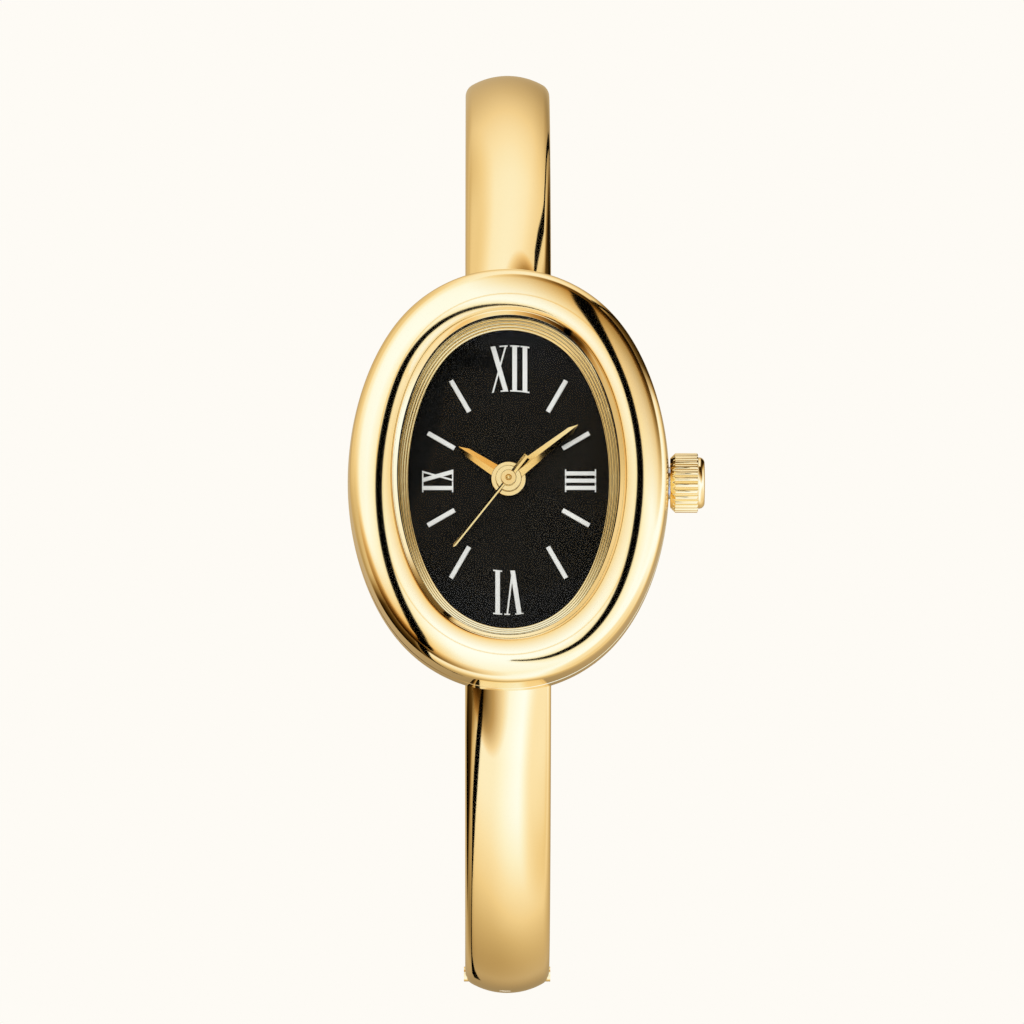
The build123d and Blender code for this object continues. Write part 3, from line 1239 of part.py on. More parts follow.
def make_clasp_tongue():
    """Tongue, brazed in the rear arm, with a narrow neck for the two spring legs."""
    half = TONGUE_THICKNESS / 2
    tongue = tongue_sector(-TONGUE_HALF_WIDTH, TONGUE_HALF_WIDTH, -TONGUE_ROOT, TONGUE_LENGTH, half)
    for x_low, x_high in ((neck_half_width, TONGUE_HALF_WIDTH + OVERRUN),
                          (-TONGUE_HALF_WIDTH - OVERRUN, -neck_half_width)):
        tongue -= tongue_sector(x_low, x_high, TONGUE_NECK_START, TONGUE_NECK_END, half + OVERRUN)
    return tongue


def make_clasp_button(side):
    """Push button with its leg and the catch at the leg's end."""
    half = TONGUE_THICKNESS / 2
    leg_inner = TONGUE_HALF_WIDTH - LEG_THICKNESS
    leg_ends = sorted((side * leg_inner, side * TONGUE_HALF_WIDTH))
    catch_ends = sorted((side * TONGUE_HALF_WIDTH, side * (TONGUE_HALF_WIDTH + CATCH_REACH)))
    leg = tongue_sector(*leg_ends, LEG_START, LEG_END, half)
    leg += tongue_sector(*catch_ends, CATCH_START, LEG_END, half)
    button_end = half_width + BUTTON_STANDS_OUT
    return leg + button_rod(side, leg_inner + LEG_THICKNESS / 2, button_end, BUTTON_RADIUS)


def make_clasp_spring(side):
    """Bowed leaf spring between the tongue's neck and a leg."""
    gap = TONGUE_HALF_WIDTH - LEG_THICKNESS - neck_half_width
    half_thickness = TONGUE_THICKNESS / 2 - CLASP_FIT
    turn = radians(mouth_turn - degrees((LEG_START + LEG_END) / 2 / tongue_radius))
    y = hinge_place[0] + tongue_radius * sin(turn)
    z = hinge_place[1] - tongue_radius * cos(turn)
    plane = Plane(origin=(0, y, z), x_dir=(side, 0, 0), z_dir=(0, side * sin(turn), -side * cos(turn)))
    half_length = (LEG_END - LEG_START) / 2
    inner_x = neck_half_width
    outer = ThreePointArc((inner_x, -half_length), (inner_x + gap, 0), (inner_x, half_length))
    inner = ThreePointArc((inner_x, SPRING_THICKNESS - half_length), (inner_x + gap - SPRING_THICKNESS, 0),
                          (inner_x, half_length - SPRING_THICKNESS))
    ends = [Line((inner_x, -half_length), (inner_x, SPRING_THICKNESS - half_length)),
            Line((inner_x, half_length), (inner_x, half_length - SPRING_THICKNESS))]
    face = make_face([outer, inner] + ends)
    return extrude(plane * face, amount=half_thickness, both=True)


def write(name, shape):
    """Writes one sub-part."""
    export_step(shape, f"parts/{name}.step")


os.makedirs("parts", exist_ok=True)
envelope = case_envelope()
write("case_middle", make_case_middle())
write("bezel", make_bezel())
write("crystal", make_crystal())
write("crystal_gasket", make_crystal_gasket())
write("flange_ring", make_flange_ring())
write("dial", make_dial())
write("hour_markers", make_hour_markers())
write("hour_hand", make_hour_hand())
write("minute_hand", make_minute_hand())
write("seconds_hand", make_seconds_hand())
write("hour_wheel", make_hour_wheel())
write("centre_wheel", make_centre_wheel())
write("seconds_wheel", make_seconds_wheel())
write("third_wheel", make_third_wheel())
write("intermediate_wheel", make_intermediate_wheel())
write("minute_wheel", make_minute_wheel())
write("rotor", make_rotor())
write("stator", make_stator())
write("coil_core", make_coil_core())
write("coil_winding", make_coil_winding())
write("battery", make_battery())
write("battery_clip", make_battery_clip())
write("circuit_board", make_circuit_board())
write("quartz_can", make_quartz_can())
write("main_plate", make_main_plate())
write("train_bridge", make_train_bridge())
write("bridge_screws", make_bridge_screws())
write("movement_holder", make_movement_holder())
write("setting_lever", make_setting_lever())
write("caseback", make_caseback())
write("caseback_gasket", make_caseback_gasket())
write("case_tube", make_case_tube())
write("crown", make_crown())
write("crown_gasket", make_crown_gasket())
write("crown_stem", make_crown_stem())
write("sliding_pinion", make_sliding_pinion())
write("arm_screws", make_arm_screws())
write("upper_arm", make_upper_arm(envelope))
write("lower_arm", make_lower_arm(envelope))
write("rear_arm", make_rear_arm())
write("hinge_pin", make_hinge_pin())
write("clasp_tongue", make_clasp_tongue())
write("clasp_button_right", make_clasp_button(1))
write("clasp_button_left", make_clasp_button(-1))
write("clasp_spring_right", make_clasp_spring(1))
write("clasp_spring_left", make_clasp_spring(-1))
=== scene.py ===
"""Looks of the oval bangle watch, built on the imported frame.

Lengths are in millimetres until a mesh is made. A depth is a distance in front of the wrist's
axis, so y = -depth, and an inset is a distance drawn in from the outer oval of the case.
"""

import logging
from dataclasses import dataclass, field
from enum import Enum
from math import atan2, ceil, cos, degrees, hypot, pi, radians, sin, sqrt
from typing import Callable, Iterable, Optional

import bmesh
import bpy
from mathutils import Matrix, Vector

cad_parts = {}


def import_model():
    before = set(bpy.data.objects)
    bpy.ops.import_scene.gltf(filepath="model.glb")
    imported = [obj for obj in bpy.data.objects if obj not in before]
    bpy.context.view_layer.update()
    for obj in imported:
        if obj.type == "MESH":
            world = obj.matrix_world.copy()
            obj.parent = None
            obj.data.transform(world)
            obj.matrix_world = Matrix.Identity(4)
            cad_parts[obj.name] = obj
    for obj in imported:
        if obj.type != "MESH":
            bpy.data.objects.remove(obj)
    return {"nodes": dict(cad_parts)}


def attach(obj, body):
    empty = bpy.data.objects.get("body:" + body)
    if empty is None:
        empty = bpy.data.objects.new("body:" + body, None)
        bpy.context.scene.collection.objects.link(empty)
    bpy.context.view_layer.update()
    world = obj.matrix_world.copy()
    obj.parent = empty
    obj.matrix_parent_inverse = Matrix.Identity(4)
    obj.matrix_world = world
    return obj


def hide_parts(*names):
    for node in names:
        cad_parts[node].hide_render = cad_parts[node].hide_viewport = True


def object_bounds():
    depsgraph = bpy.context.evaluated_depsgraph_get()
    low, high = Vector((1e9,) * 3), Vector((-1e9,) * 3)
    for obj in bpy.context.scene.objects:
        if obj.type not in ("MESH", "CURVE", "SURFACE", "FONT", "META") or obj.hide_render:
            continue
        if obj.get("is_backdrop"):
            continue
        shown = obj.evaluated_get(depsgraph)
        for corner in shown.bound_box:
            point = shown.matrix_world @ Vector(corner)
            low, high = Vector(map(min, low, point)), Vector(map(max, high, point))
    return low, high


log = logging.getLogger("watch")
MM = 0.001
WELD = 1e-8
Point2 = tuple[float, float]
Point3 = tuple[float, float, float]
Skin = tuple[list, list]
Place = Callable[[float, float, float], Point3]
Stops = tuple[tuple[float, Point3], ...]


# Finishes

def linear(code: str) -> tuple[float, float, float, float]:
    """Turns an sRGB hex code into a linear colour.

    Args:
        code: six hex digits after a "#".

    Returns:
        Linear red, green, blue and an alpha of 1.
    """
    digits = code.lstrip("#")
    out = []
    for start in (0, 2, 4):
        value = int(digits[start:start + 2], 16) / 255
        out.append(value / 12.92 if value <= 0.04045 else ((value + 0.055) / 1.055) ** 2.4)
    return out[0], out[1], out[2], 1.0


class Slot(Enum):
    """Material slots of the record that the pieces take their finish from."""

    GOLD = "polished_gold"
    DIAL = "dial_black"
    SILVER = "silver_trim"
    GLASS = "glass"
    RUBBER = "rubber"
    NYLON = "nylon"
    BOARD = "board_green"
    STEEL = "steel"
    BRASS = "movement_brass"
    COPPER = "copper"
    MAGNET = "magnet"


@dataclass(frozen=True)
class Finish:
    """A surface finish. Pattern sizes are in millimetres.

    Attributes:
        material: what the real surface is and how it was made.
        dark: hex colour of the deepest tone of the variation.
        light: hex colour of its lightest tone.
        metallic: 1 for metal, 0 for anything else.
        rough_low: roughness in the smoothest places.
        rough_high: roughness in the dullest places.
        grain: size of the grain in the bump and the roughness.
        bump: height of the grain.
        cloud: size of the slow colour variation.
        stretch: how much the grain is drawn out along the local axes.
        gloss: specular level of a surface that isn't metal.
    """

    material: str
    dark: str
    light: str
    metallic: float = 0.0
    rough_low: float = 0.35
    rough_high: float = 0.5
    grain: float = 0.3
    bump: float = 0.002
    cloud: float = 4.0
    stretch: Point3 = (1.0, 1.0, 1.0)
    gloss: float = 0.5


@dataclass(frozen=True)
class Glass:
    """Mineral glass, ground flat and polished on both sides.

    Attributes:
        material: name of the material.
        tint: light that passes, as linear red, green, blue and alpha.
        shine: colour of its reflections.
        bend: refractive index behind the strength of the reflections, low as with an anti-glare coating.
        rough_low: roughness in the smoothest places.
        rough_high: roughness in the dullest places.
        smear: size of the faint smears.
    """

    material: str = "mineral_glass_polished"
    tint: tuple[float, float, float, float] = (0.985, 0.99, 0.985, 1.0)
    shine: tuple[float, float, float, float] = (1.0, 1.0, 1.0, 1.0)
    bend: float = 1.12
    rough_low: float = 0.01
    rough_high: float = 0.03
    smear: float = 6.0


FINISHES: dict[Slot, Finish] = {
    # Mirror polish under a thin plating: sharp reflections with a breath of haze where it was buffed.
    Slot.GOLD: Finish("gold_plated_steel_polished", "#F7DEA2", "#F9E3AC", 1.0, 0.045, 0.085, grain=0.12,
                      bump=0.00004, cloud=9.0),
    # Sprayed black lacquer with a fine sand that kills nearly all gloss.
    Slot.DIAL: Finish("brass_black_lacquered", "#111110", "#161615", 0.0, 0.5, 0.6, grain=0.05, bump=0.0004,
                      cloud=3.0, gloss=0.05),
    # Pale lacquer over raised strokes, so they stay light whatever they face.
    Slot.SILVER: Finish("brass_silver_lacquered", "#E6E6E5", "#F2F2F1", 0.0, 0.25, 0.35, grain=0.1,
                        bump=0.0002, cloud=2.0, gloss=0.3),
    # Moulded seals: dull black with the mould's fine texture.
    Slot.RUBBER: Finish("nitrile_rubber_moulded", "#101010", "#1A1A1A", 0.0, 0.6, 0.8, grain=0.15),
    # Moulded plastic: milky and half dull.
    Slot.NYLON: Finish("nylon_moulded", "#D9D6CC", "#E4E1D8", 0.0, 0.45, 0.6, grain=0.3),
    # Solder resist over glass weave, whose threads show as a slight relief.
    Slot.BOARD: Finish("epoxy_glass_board", "#1E5A36", "#2A6E44", 0.0, 0.35, 0.5, grain=0.2),
    # Turned and brushed steel: the streaks are drawn out along Z.
    Slot.STEEL: Finish("stainless_steel_brushed", "#B9BBBD", "#CFD0D1", 1.0, 0.18, 0.32, grain=0.08,
                       bump=0.0003, stretch=(1, 1, 12)),
    # Machined brass with a brushed top: warm, with fine streaks.
    Slot.BRASS: Finish("brass_machined", "#C9A455", "#D8B76C", 1.0, 0.2, 0.35, grain=0.1, bump=0.0004,
                       stretch=(1, 1, 10)),
    # Enamelled wire in close turns: the grain is drawn out along X as the turns are.
    Slot.COPPER: Finish("copper_wire_wound", "#A85A32", "#C4713F", 1.0, 0.3, 0.4, grain=0.03, bump=0.003,
                        stretch=(12, 1, 1)),
    # Pressed and sintered powder: dark grey with a fine dull grain.
    Slot.MAGNET: Finish("samarium_cobalt_sintered", "#4A4B4D", "#5C5D60", 1.0, 0.35, 0.5, grain=0.1,
                        bump=0.001),
}


class Nodes:
    """Adds nodes to a tree and joins them."""

    def __init__(self, tree: bpy.types.NodeTree) -> None:
        """Empties the tree."""
        self.tree = tree
        tree.nodes.clear()

    def node(self, kind: str, **settings) -> bpy.types.Node:
        """Adds a node.

        Args:
            kind: type of the node.
            settings: values by name. A name that is a socket's goes to the socket, any other to the node.

        Returns:
            The node.
        """
        made = self.tree.nodes.new(kind)
        for name, value in settings.items():
            label = name.replace("_", " ")
            if label in made.inputs:
                made.inputs[label].default_value = value
            else:
                setattr(made, name, value)
        return made

    def link(self, source: bpy.types.NodeSocket, target: bpy.types.NodeSocket) -> None:
        """Joins two sockets."""
        self.tree.links.new(source, target)

    def math(self, operation: str, *values: bpy.types.NodeSocket) -> bpy.types.NodeSocket:
        """Works a number out from one or two others.

        Args:
            operation: operation of the math node.
            values: what it works on.

        Returns:
            The value socket.
        """
        node = self.node("ShaderNodeMath", operation=operation)
        for value, entry in zip(values, node.inputs):
            self.link(value, entry)
        return node.outputs["Value"]


class Shader(Nodes):
    """Node material."""

    def __init__(self, name: str) -> None:
        """Makes an empty material with its output.

        Args:
            name: name of the material.
        """
        self.material = bpy.data.materials.new(name)
        self.material.use_nodes = True
        super().__init__(self.material.node_tree)
        self.output = self.node("ShaderNodeOutputMaterial")

    def finish(self, socket: bpy.types.NodeSocket) -> bpy.types.Material:
        """Joins the last shader to the output and gives the material."""
        self.link(socket, self.output.inputs["Surface"])
        return self.material

    def noise(self, size: float, detail: float, stretch: Point3 = (1.0, 1.0, 1.0)) -> bpy.types.NodeSocket:
        """Noise whose grain has a size in millimetres.

        Args:
            size: size of the grain.
            detail: octaves of the noise.
            stretch: how much longer the grain is along each axis.

        Returns:
            The factor socket.
        """
        coordinates = self.node("ShaderNodeTexCoord")
        mapping = self.node("ShaderNodeMapping")
        mapping.inputs["Scale"].default_value = tuple(1 / (size * MM * s) for s in stretch)
        noise = self.node("ShaderNodeTexNoise", Scale=1.0, Detail=detail)
        self.link(coordinates.outputs["Object"], mapping.inputs["Vector"])
        self.link(mapping.outputs["Vector"], noise.inputs["Vector"])
        return noise.outputs["Fac"]

    def spread(self, value: bpy.types.NodeSocket, low: float, high: float) -> bpy.types.NodeSocket:
        """Maps a factor to the stretch between two numbers.

        Args:
            value: the factor.
            low: what 0 becomes.
            high: what 1 becomes.

        Returns:
            The mapped socket.
        """
        node = self.node("ShaderNodeMapRange", To_Min=low, To_Max=high)
        self.link(value, node.inputs["Value"])
        return node.outputs["Result"]

    def smooth(self, value: bpy.types.NodeSocket, none: float, full: float) -> bpy.types.NodeSocket:
        """Factor that rises smoothly between two limits of a value.

        Args:
            value: the value.
            none: where the factor is 0.
            full: where it is 1.

        Returns:
            The factor socket.
        """
        node = self.node("ShaderNodeMapRange", interpolation_type="SMOOTHSTEP", From_Min=none,
                         From_Max=full)
        self.link(value, node.inputs["Value"])
        return node.outputs["Result"]

    def ramp(self, value: bpy.types.NodeSocket, stops: Stops) -> bpy.types.NodeSocket:
        """Colour ramp with linear tones.

        Args:
            value: the factor.
            stops: position and tone of each stop.

        Returns:
            The colour socket.
        """
        ramp = self.node("ShaderNodeValToRGB")
        while len(ramp.color_ramp.elements) < len(stops):
            ramp.color_ramp.elements.new(0.5)
        for element, (position, tone) in zip(ramp.color_ramp.elements, stops):
            element.position = position
            element.color = (*tone[:3], 1.0)
        self.link(value, ramp.inputs["Fac"])
        return ramp.outputs["Color"]


def finish_material(finish: Finish) -> bpy.types.Material:
    """Material of a finish: colour variation, roughness variation and a fine bump.

    Args:
        finish: its numbers.

    Returns:
        The material.
    """
    shader = Shader(finish.material)
    surface = shader.node("ShaderNodeBsdfPrincipled", Metallic=finish.metallic,
                          Specular_IOR_Level=finish.gloss)
    grain = shader.noise(finish.grain, 3.0, finish.stretch)
    cloud = shader.noise(finish.cloud, 2.0)
    colour = shader.ramp(cloud, ((0.3, linear(finish.dark)), (0.7, linear(finish.light))))
    shader.link(colour, surface.inputs["Base Color"])
    shader.link(shader.spread(grain, finish.rough_low, finish.rough_high), surface.inputs["Roughness"])
    bump = shader.node("ShaderNodeBump", Strength=1.0, Distance=finish.bump * MM)
    shader.link(grain, bump.inputs["Height"])
    shader.link(bump.outputs["Normal"], surface.inputs["Normal"])
    return shader.finish(surface.outputs["BSDF"])


def glass_material(glass: Glass) -> bpy.types.Material:
    """Thin clear crystal: see-through, with a gloss that grows towards grazing angles.

    Args:
        glass: its numbers.

    Returns:
        The material.
    """
    shader = Shader(glass.material)
    clear = shader.node("ShaderNodeBsdfTransparent", Color=glass.tint)
    gloss = shader.node("ShaderNodeBsdfGlossy", Color=glass.shine)
    fresnel = shader.node("ShaderNodeFresnel", IOR=glass.bend)
    mix = shader.node("ShaderNodeMixShader")
    rough = shader.spread(shader.noise(glass.smear, 2.0), glass.rough_low, glass.rough_high)
    shader.link(rough, gloss.inputs["Roughness"])
    shader.link(fresnel.outputs["Fac"], mix.inputs["Fac"])
    shader.link(clear.outputs["BSDF"], mix.inputs[1])
    shader.link(gloss.outputs["BSDF"], mix.inputs[2])
    return shader.finish(mix.outputs["Shader"])


class Palette:
    """All materials of the watch, by slot."""

    def __init__(self) -> None:
        """Makes every material."""
        self.by_slot = {kind: finish_material(finish) for kind, finish in FINISHES.items()}
        self.by_slot[Slot.GLASS] = glass_material(Glass())

    def paint(self, piece: bpy.types.Object, kind: Slot) -> None:
        """Gives every material slot of an object the material of a slot of the record.

        Args:
            piece: the object.
            kind: slot of the record.
        """
        if piece.material_slots:
            for place in piece.material_slots:
                place.material = self.by_slot[kind]
        else:
            piece.data.materials.append(self.by_slot[kind])

    def dress(self, piece: bpy.types.Object, kind: Slot, body: str, node: Optional[str] = None) -> None:
        """Paints a piece, lets it ride on its body and stand for its node, and reports it.

        Args:
            piece: the finished piece.
            kind: slot of the record.
            body: body that it rides on.
            node: node that it stands for, if it stands for one.
        """
        self.paint(piece, kind)
        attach(piece, body)
        if node:
            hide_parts(node)
        log.info("%s is built and rides on %s", piece.name, body)


# Outlines and meshes

def arc(centre: Point2, radius: float, start: float, end: float, steps: int) -> list[Point2]:
    """Points along an arc, both ends included. Angles are in degrees."""
    turns = [radians(start + (end - start) * step / steps) for step in range(steps + 1)]
    return [(centre[0] + radius * cos(turn), centre[1] + radius * sin(turn)) for turn in turns]


def polar(centre: Point2, radius: float, turn: float) -> Point2:
    """Point at a distance and an angle in degrees from a centre."""
    return centre[0] + radius * cos(radians(turn)), centre[1] + radius * sin(radians(turn))


def ridge(half: float, high: float, bevel: float) -> list[Point2]:
    """Half-width and height of the corners of a raised bar with two bevelled edges."""
    return [(-half, 0), (-half, high - bevel), (-half + bevel, high),
            (half - bevel, high), (half, high - bevel), (half, 0)]


class Oval:
    """Smooth oval with parallel curves, drawn by the direction of its outward normal.

    Attributes:
        STEP: degrees between the points that it is kept as.
        quarter: those points, from the first axis to the second.
    """

    STEP = 0.25

    def __init__(self, half_short: float, half_long: float, end_radius: float, blend: float) -> None:
        """Draws the first quarter.

        Its radius passes smoothly from a first to a second value, which are solved from the two half axes.

        Args:
            half_short: half of the first axis.
            half_long: half of the second axis.
            end_radius: radius of the four-arc oval's ends that it follows.
            blend: degrees to each side over which one radius passes into the other.
        """
        side = (half_short**2 + half_long**2 - 2 * half_long * end_radius) / (2 * (half_short - end_radius))
        joint = degrees(atan2(half_long - end_radius, side - half_short))
        count = round(90 / self.STEP)
        shares = []
        for index in range(count):
            turn = (index + 0.5) * self.STEP
            place = min(1.0, max(0.0, (turn - joint + blend) / (2 * blend)))
            shares.append((turn, place * place * (3 - 2 * place)))
        width = radians(self.STEP)
        sides = [sum((1 - s) * sin(radians(t)) for t, s in shares) * width,
                 sum(s * sin(radians(t)) for t, s in shares) * width]
        ends = [sum((1 - s) * cos(radians(t)) for t, s in shares) * width,
                sum(s * cos(radians(t)) for t, s in shares) * width]
        scale = sides[0] * ends[1] - sides[1] * ends[0]
        first = (half_short * ends[1] - sides[1] * half_long) / scale
        second = (sides[0] * half_long - ends[0] * half_short) / scale
        x, y = half_short, 0.0
        self.quarter: list[Point2] = [(x, y)]
        for turn, share in shares:
            radius = first + (second - first) * share
            x -= radius * sin(radians(turn)) * width
            y += radius * cos(radians(turn)) * width
            self.quarter.append((x, y))

    def base(self, turn: float) -> Point2:
        """Point whose outward normal points at an angle from the first axis.

        Args:
            turn: the angle in degrees.

        Returns:
            The point.
        """
        turn %= 360
        mirror_y = turn > 180
        folded = 360 - turn if mirror_y else turn
        mirror_x = folded > 90
        folded = 180 - folded if mirror_x else folded
        index = folded / self.STEP
        low = min(int(index), len(self.quarter) - 2)
        share = index - low
        x = self.quarter[low][0] * (1 - share) + self.quarter[low + 1][0] * share
        y = self.quarter[low][1] * (1 - share) + self.quarter[low + 1][1] * share
        return (-x if mirror_x else x), (-y if mirror_y else y)

    def point(self, turn: float, outward: float) -> Point2:
        """The same point, moved outward along the normal."""
        x, y = self.base(turn)
        return x + outward * cos(radians(turn)), y + outward * sin(radians(turn))


def make_object(name: str, points: Iterable[Point3], faces: list, sharp: float = 30.0) -> bpy.types.Object:
    """Mesh object from points in millimetres, with outward normals and smooth shading.

    Args:
        name: name of the piece.
        points: its points.
        faces: lists of point numbers.
        sharp: edges that turn by more than this many degrees stay sharp.

    Returns:
        The object, linked to the scene.
    """
    mesh = bpy.data.meshes.new(name)
    mesh.from_pydata([(x * MM, y * MM, z * MM) for x, y, z in points], [], faces)
    work = bmesh.new()
    work.from_mesh(mesh)
    bmesh.ops.remove_doubles(work, verts=work.verts, dist=WELD)
    bmesh.ops.recalc_face_normals(work, faces=work.faces)
    work.to_mesh(mesh)
    work.free()
    return link_smooth(name, mesh, sharp)


def link_smooth(name: str, mesh: bpy.types.Mesh, sharp: float = 30.0) -> bpy.types.Object:
    """Shades a mesh smooth up to an angle and links an object of it to the scene.

    Args:
        name: name of the object.
        mesh: the mesh.
        sharp: edges that turn by more than this many degrees stay sharp.

    Returns:
        The object.
    """
    mesh.shade_smooth()
    mesh.set_sharp_from_angle(angle=radians(sharp))
    made = bpy.data.objects.new(name, mesh)
    bpy.context.scene.collection.objects.link(made)
    return made


def loft(rings: list[list[Point3]], closed: bool) -> Skin:
    """Skin over closed sections of the same size.

    Args:
        rings: the sections, in order.
        closed: whether the last section joins the first. Otherwise both ends are capped.

    Returns:
        Points and faces.
    """
    size = len(rings[0])
    points = [point for ring in rings for point in ring]
    faces = []
    for row in range(len(rings) if closed else len(rings) - 1):
        after = (row + 1) % len(rings)
        for place in range(size):
            following = (place + 1) % size
            faces.append((row * size + place, row * size + following,
                          after * size + following, after * size + place))
    if not closed:
        faces.append(tuple(range(size)))
        faces.append(tuple(range((len(rings) - 1) * size, len(rings) * size)))
    return points, faces


def lathe(profile: list[Point2], turns: int, place: Place) -> Skin:
    """Body of revolution with its ends closed.

    Args:
        profile: radius and height of each row, from one end to the other.
        turns: points round the axis.
        place: gives the point for two coordinates across the axis and a height along it.

    Returns:
        Points and faces.
    """
    points: list[Point3] = []
    rows: list[list[int]] = []
    for radius, height in profile:
        row = []
        for step in range(turns if radius > 0 else 1):
            turn = 2 * pi * step / turns
            row.append(len(points))
            points.append(place(radius * cos(turn), radius * sin(turn), height))
        rows.append(row)
    faces: list = []
    for low, high in zip(rows, rows[1:]):
        for step in range(turns):
            after = (step + 1) % turns
            corners = [low[step % len(low)], low[after % len(low)],
                       high[after % len(high)], high[step % len(high)]]
            unique = list(dict.fromkeys(corners))
            if len(unique) > 2:
                faces.append(tuple(unique))
    for row in (rows[0], rows[-1]):
        if len(row) > 1:
            faces.append(tuple(row))
    return points, faces


def join(parts: Iterable[Skin]) -> Skin:
    """Puts several lots of points and faces together.

    Args:
        parts: the lots.

    Returns:
        Points and faces.
    """
    points: list = []
    faces: list = []
    for more_points, more_faces in parts:
        start = len(points)
        points += more_points
        faces += [tuple(start + number for number in face) for face in more_faces]
    return points, faces


class Cut(Enum):
    """What a solid does to another."""

    DIFFERENCE = "DIFFERENCE"
    UNION = "UNION"
    INTERSECT = "INTERSECT"


def boolean(name: str, body: bpy.types.Object, tools: list[tuple[Cut, bpy.types.Object]],
            sharp: float = 30.0) -> bpy.types.Object:
    """Cuts, joins or intersects solids exactly and gives one plain object.

    Args:
        name: name of the result.
        body: the first solid. It is used up.
        tools: operation and solid, in order. The solids are used up.
        sharp: edges that turn by more than this many degrees stay sharp.

    Returns:
        The result.
    """
    for operation, tool in tools:
        modifier = body.modifiers.new("cut", "BOOLEAN")
        modifier.operation = operation.value
        modifier.solver = "EXACT"
        modifier.object = tool
        graph = bpy.context.evaluated_depsgraph_get()
        graph.update()
        mesh = bpy.data.meshes.new_from_object(body.evaluated_get(graph))
        body.modifiers.clear()
        old = body.data
        body.data = mesh
        bpy.data.meshes.remove(old)
        bpy.data.objects.remove(tool)
    mesh = body.data
    mesh.name = name
    bpy.data.objects.remove(body)
    return link_smooth(name, mesh, sharp)


# The watch's shapes

@dataclass(frozen=True)
class CaseSizes:
    """Sizes of the case that the pieces share.

    Attributes:
        half_width: half of the outer oval at 3 o'clock.
        half_height: half of the outer oval at 12 o'clock.
        end_radius: radius of the oval's ends.
        back: depth of the case's back face.
        widest: depth of the widest line.
        crown: depth of the crown's axis.
        seam: depth of the seam under the bezel.
        crest: depth of the bezel's crest.
        crystal: depth of the crystal's face.
        dial_back: depth of the dial's back face.
        dial_thickness: thickness of the dial.
        band: inset of the bezel's inner foot.
    """

    half_width: float = 9.5
    half_height: float = 12.447
    end_radius: float = 8.63
    back: float = 20.2008
    widest: float = 22.0008
    crown: float = 21.9008
    seam: float = 23.1008
    crest: float = 25.7608
    crystal: float = 25.3639
    dial_back: float = 23.0139
    dial_thickness: float = 0.35
    band: float = 2.85

    @property
    def dial(self) -> float:
        """Depth of the dial's face."""
        return self.dial_back + self.dial_thickness


SIZES = CaseSizes()
CASE_OVAL = Oval(SIZES.half_width, SIZES.half_height, SIZES.end_radius, 20.0)


def oval_sweep(section: list[Point2], step: float = 1.5) -> Skin:
    """Ring along the case's oval.

    Args:
        section: inset and depth of each corner.
        step: degrees between the sections.

    Returns:
        Points and faces.
    """
    rings = []
    count = round(360 / step)
    for index in range(count):
        turn = 360 * index / count
        ring = []
        for inset, depth in section:
            x, z = CASE_OVAL.point(turn, -inset)
            ring.append((x, -depth, z))
        rings.append(ring)
    return loft(rings, closed=True)


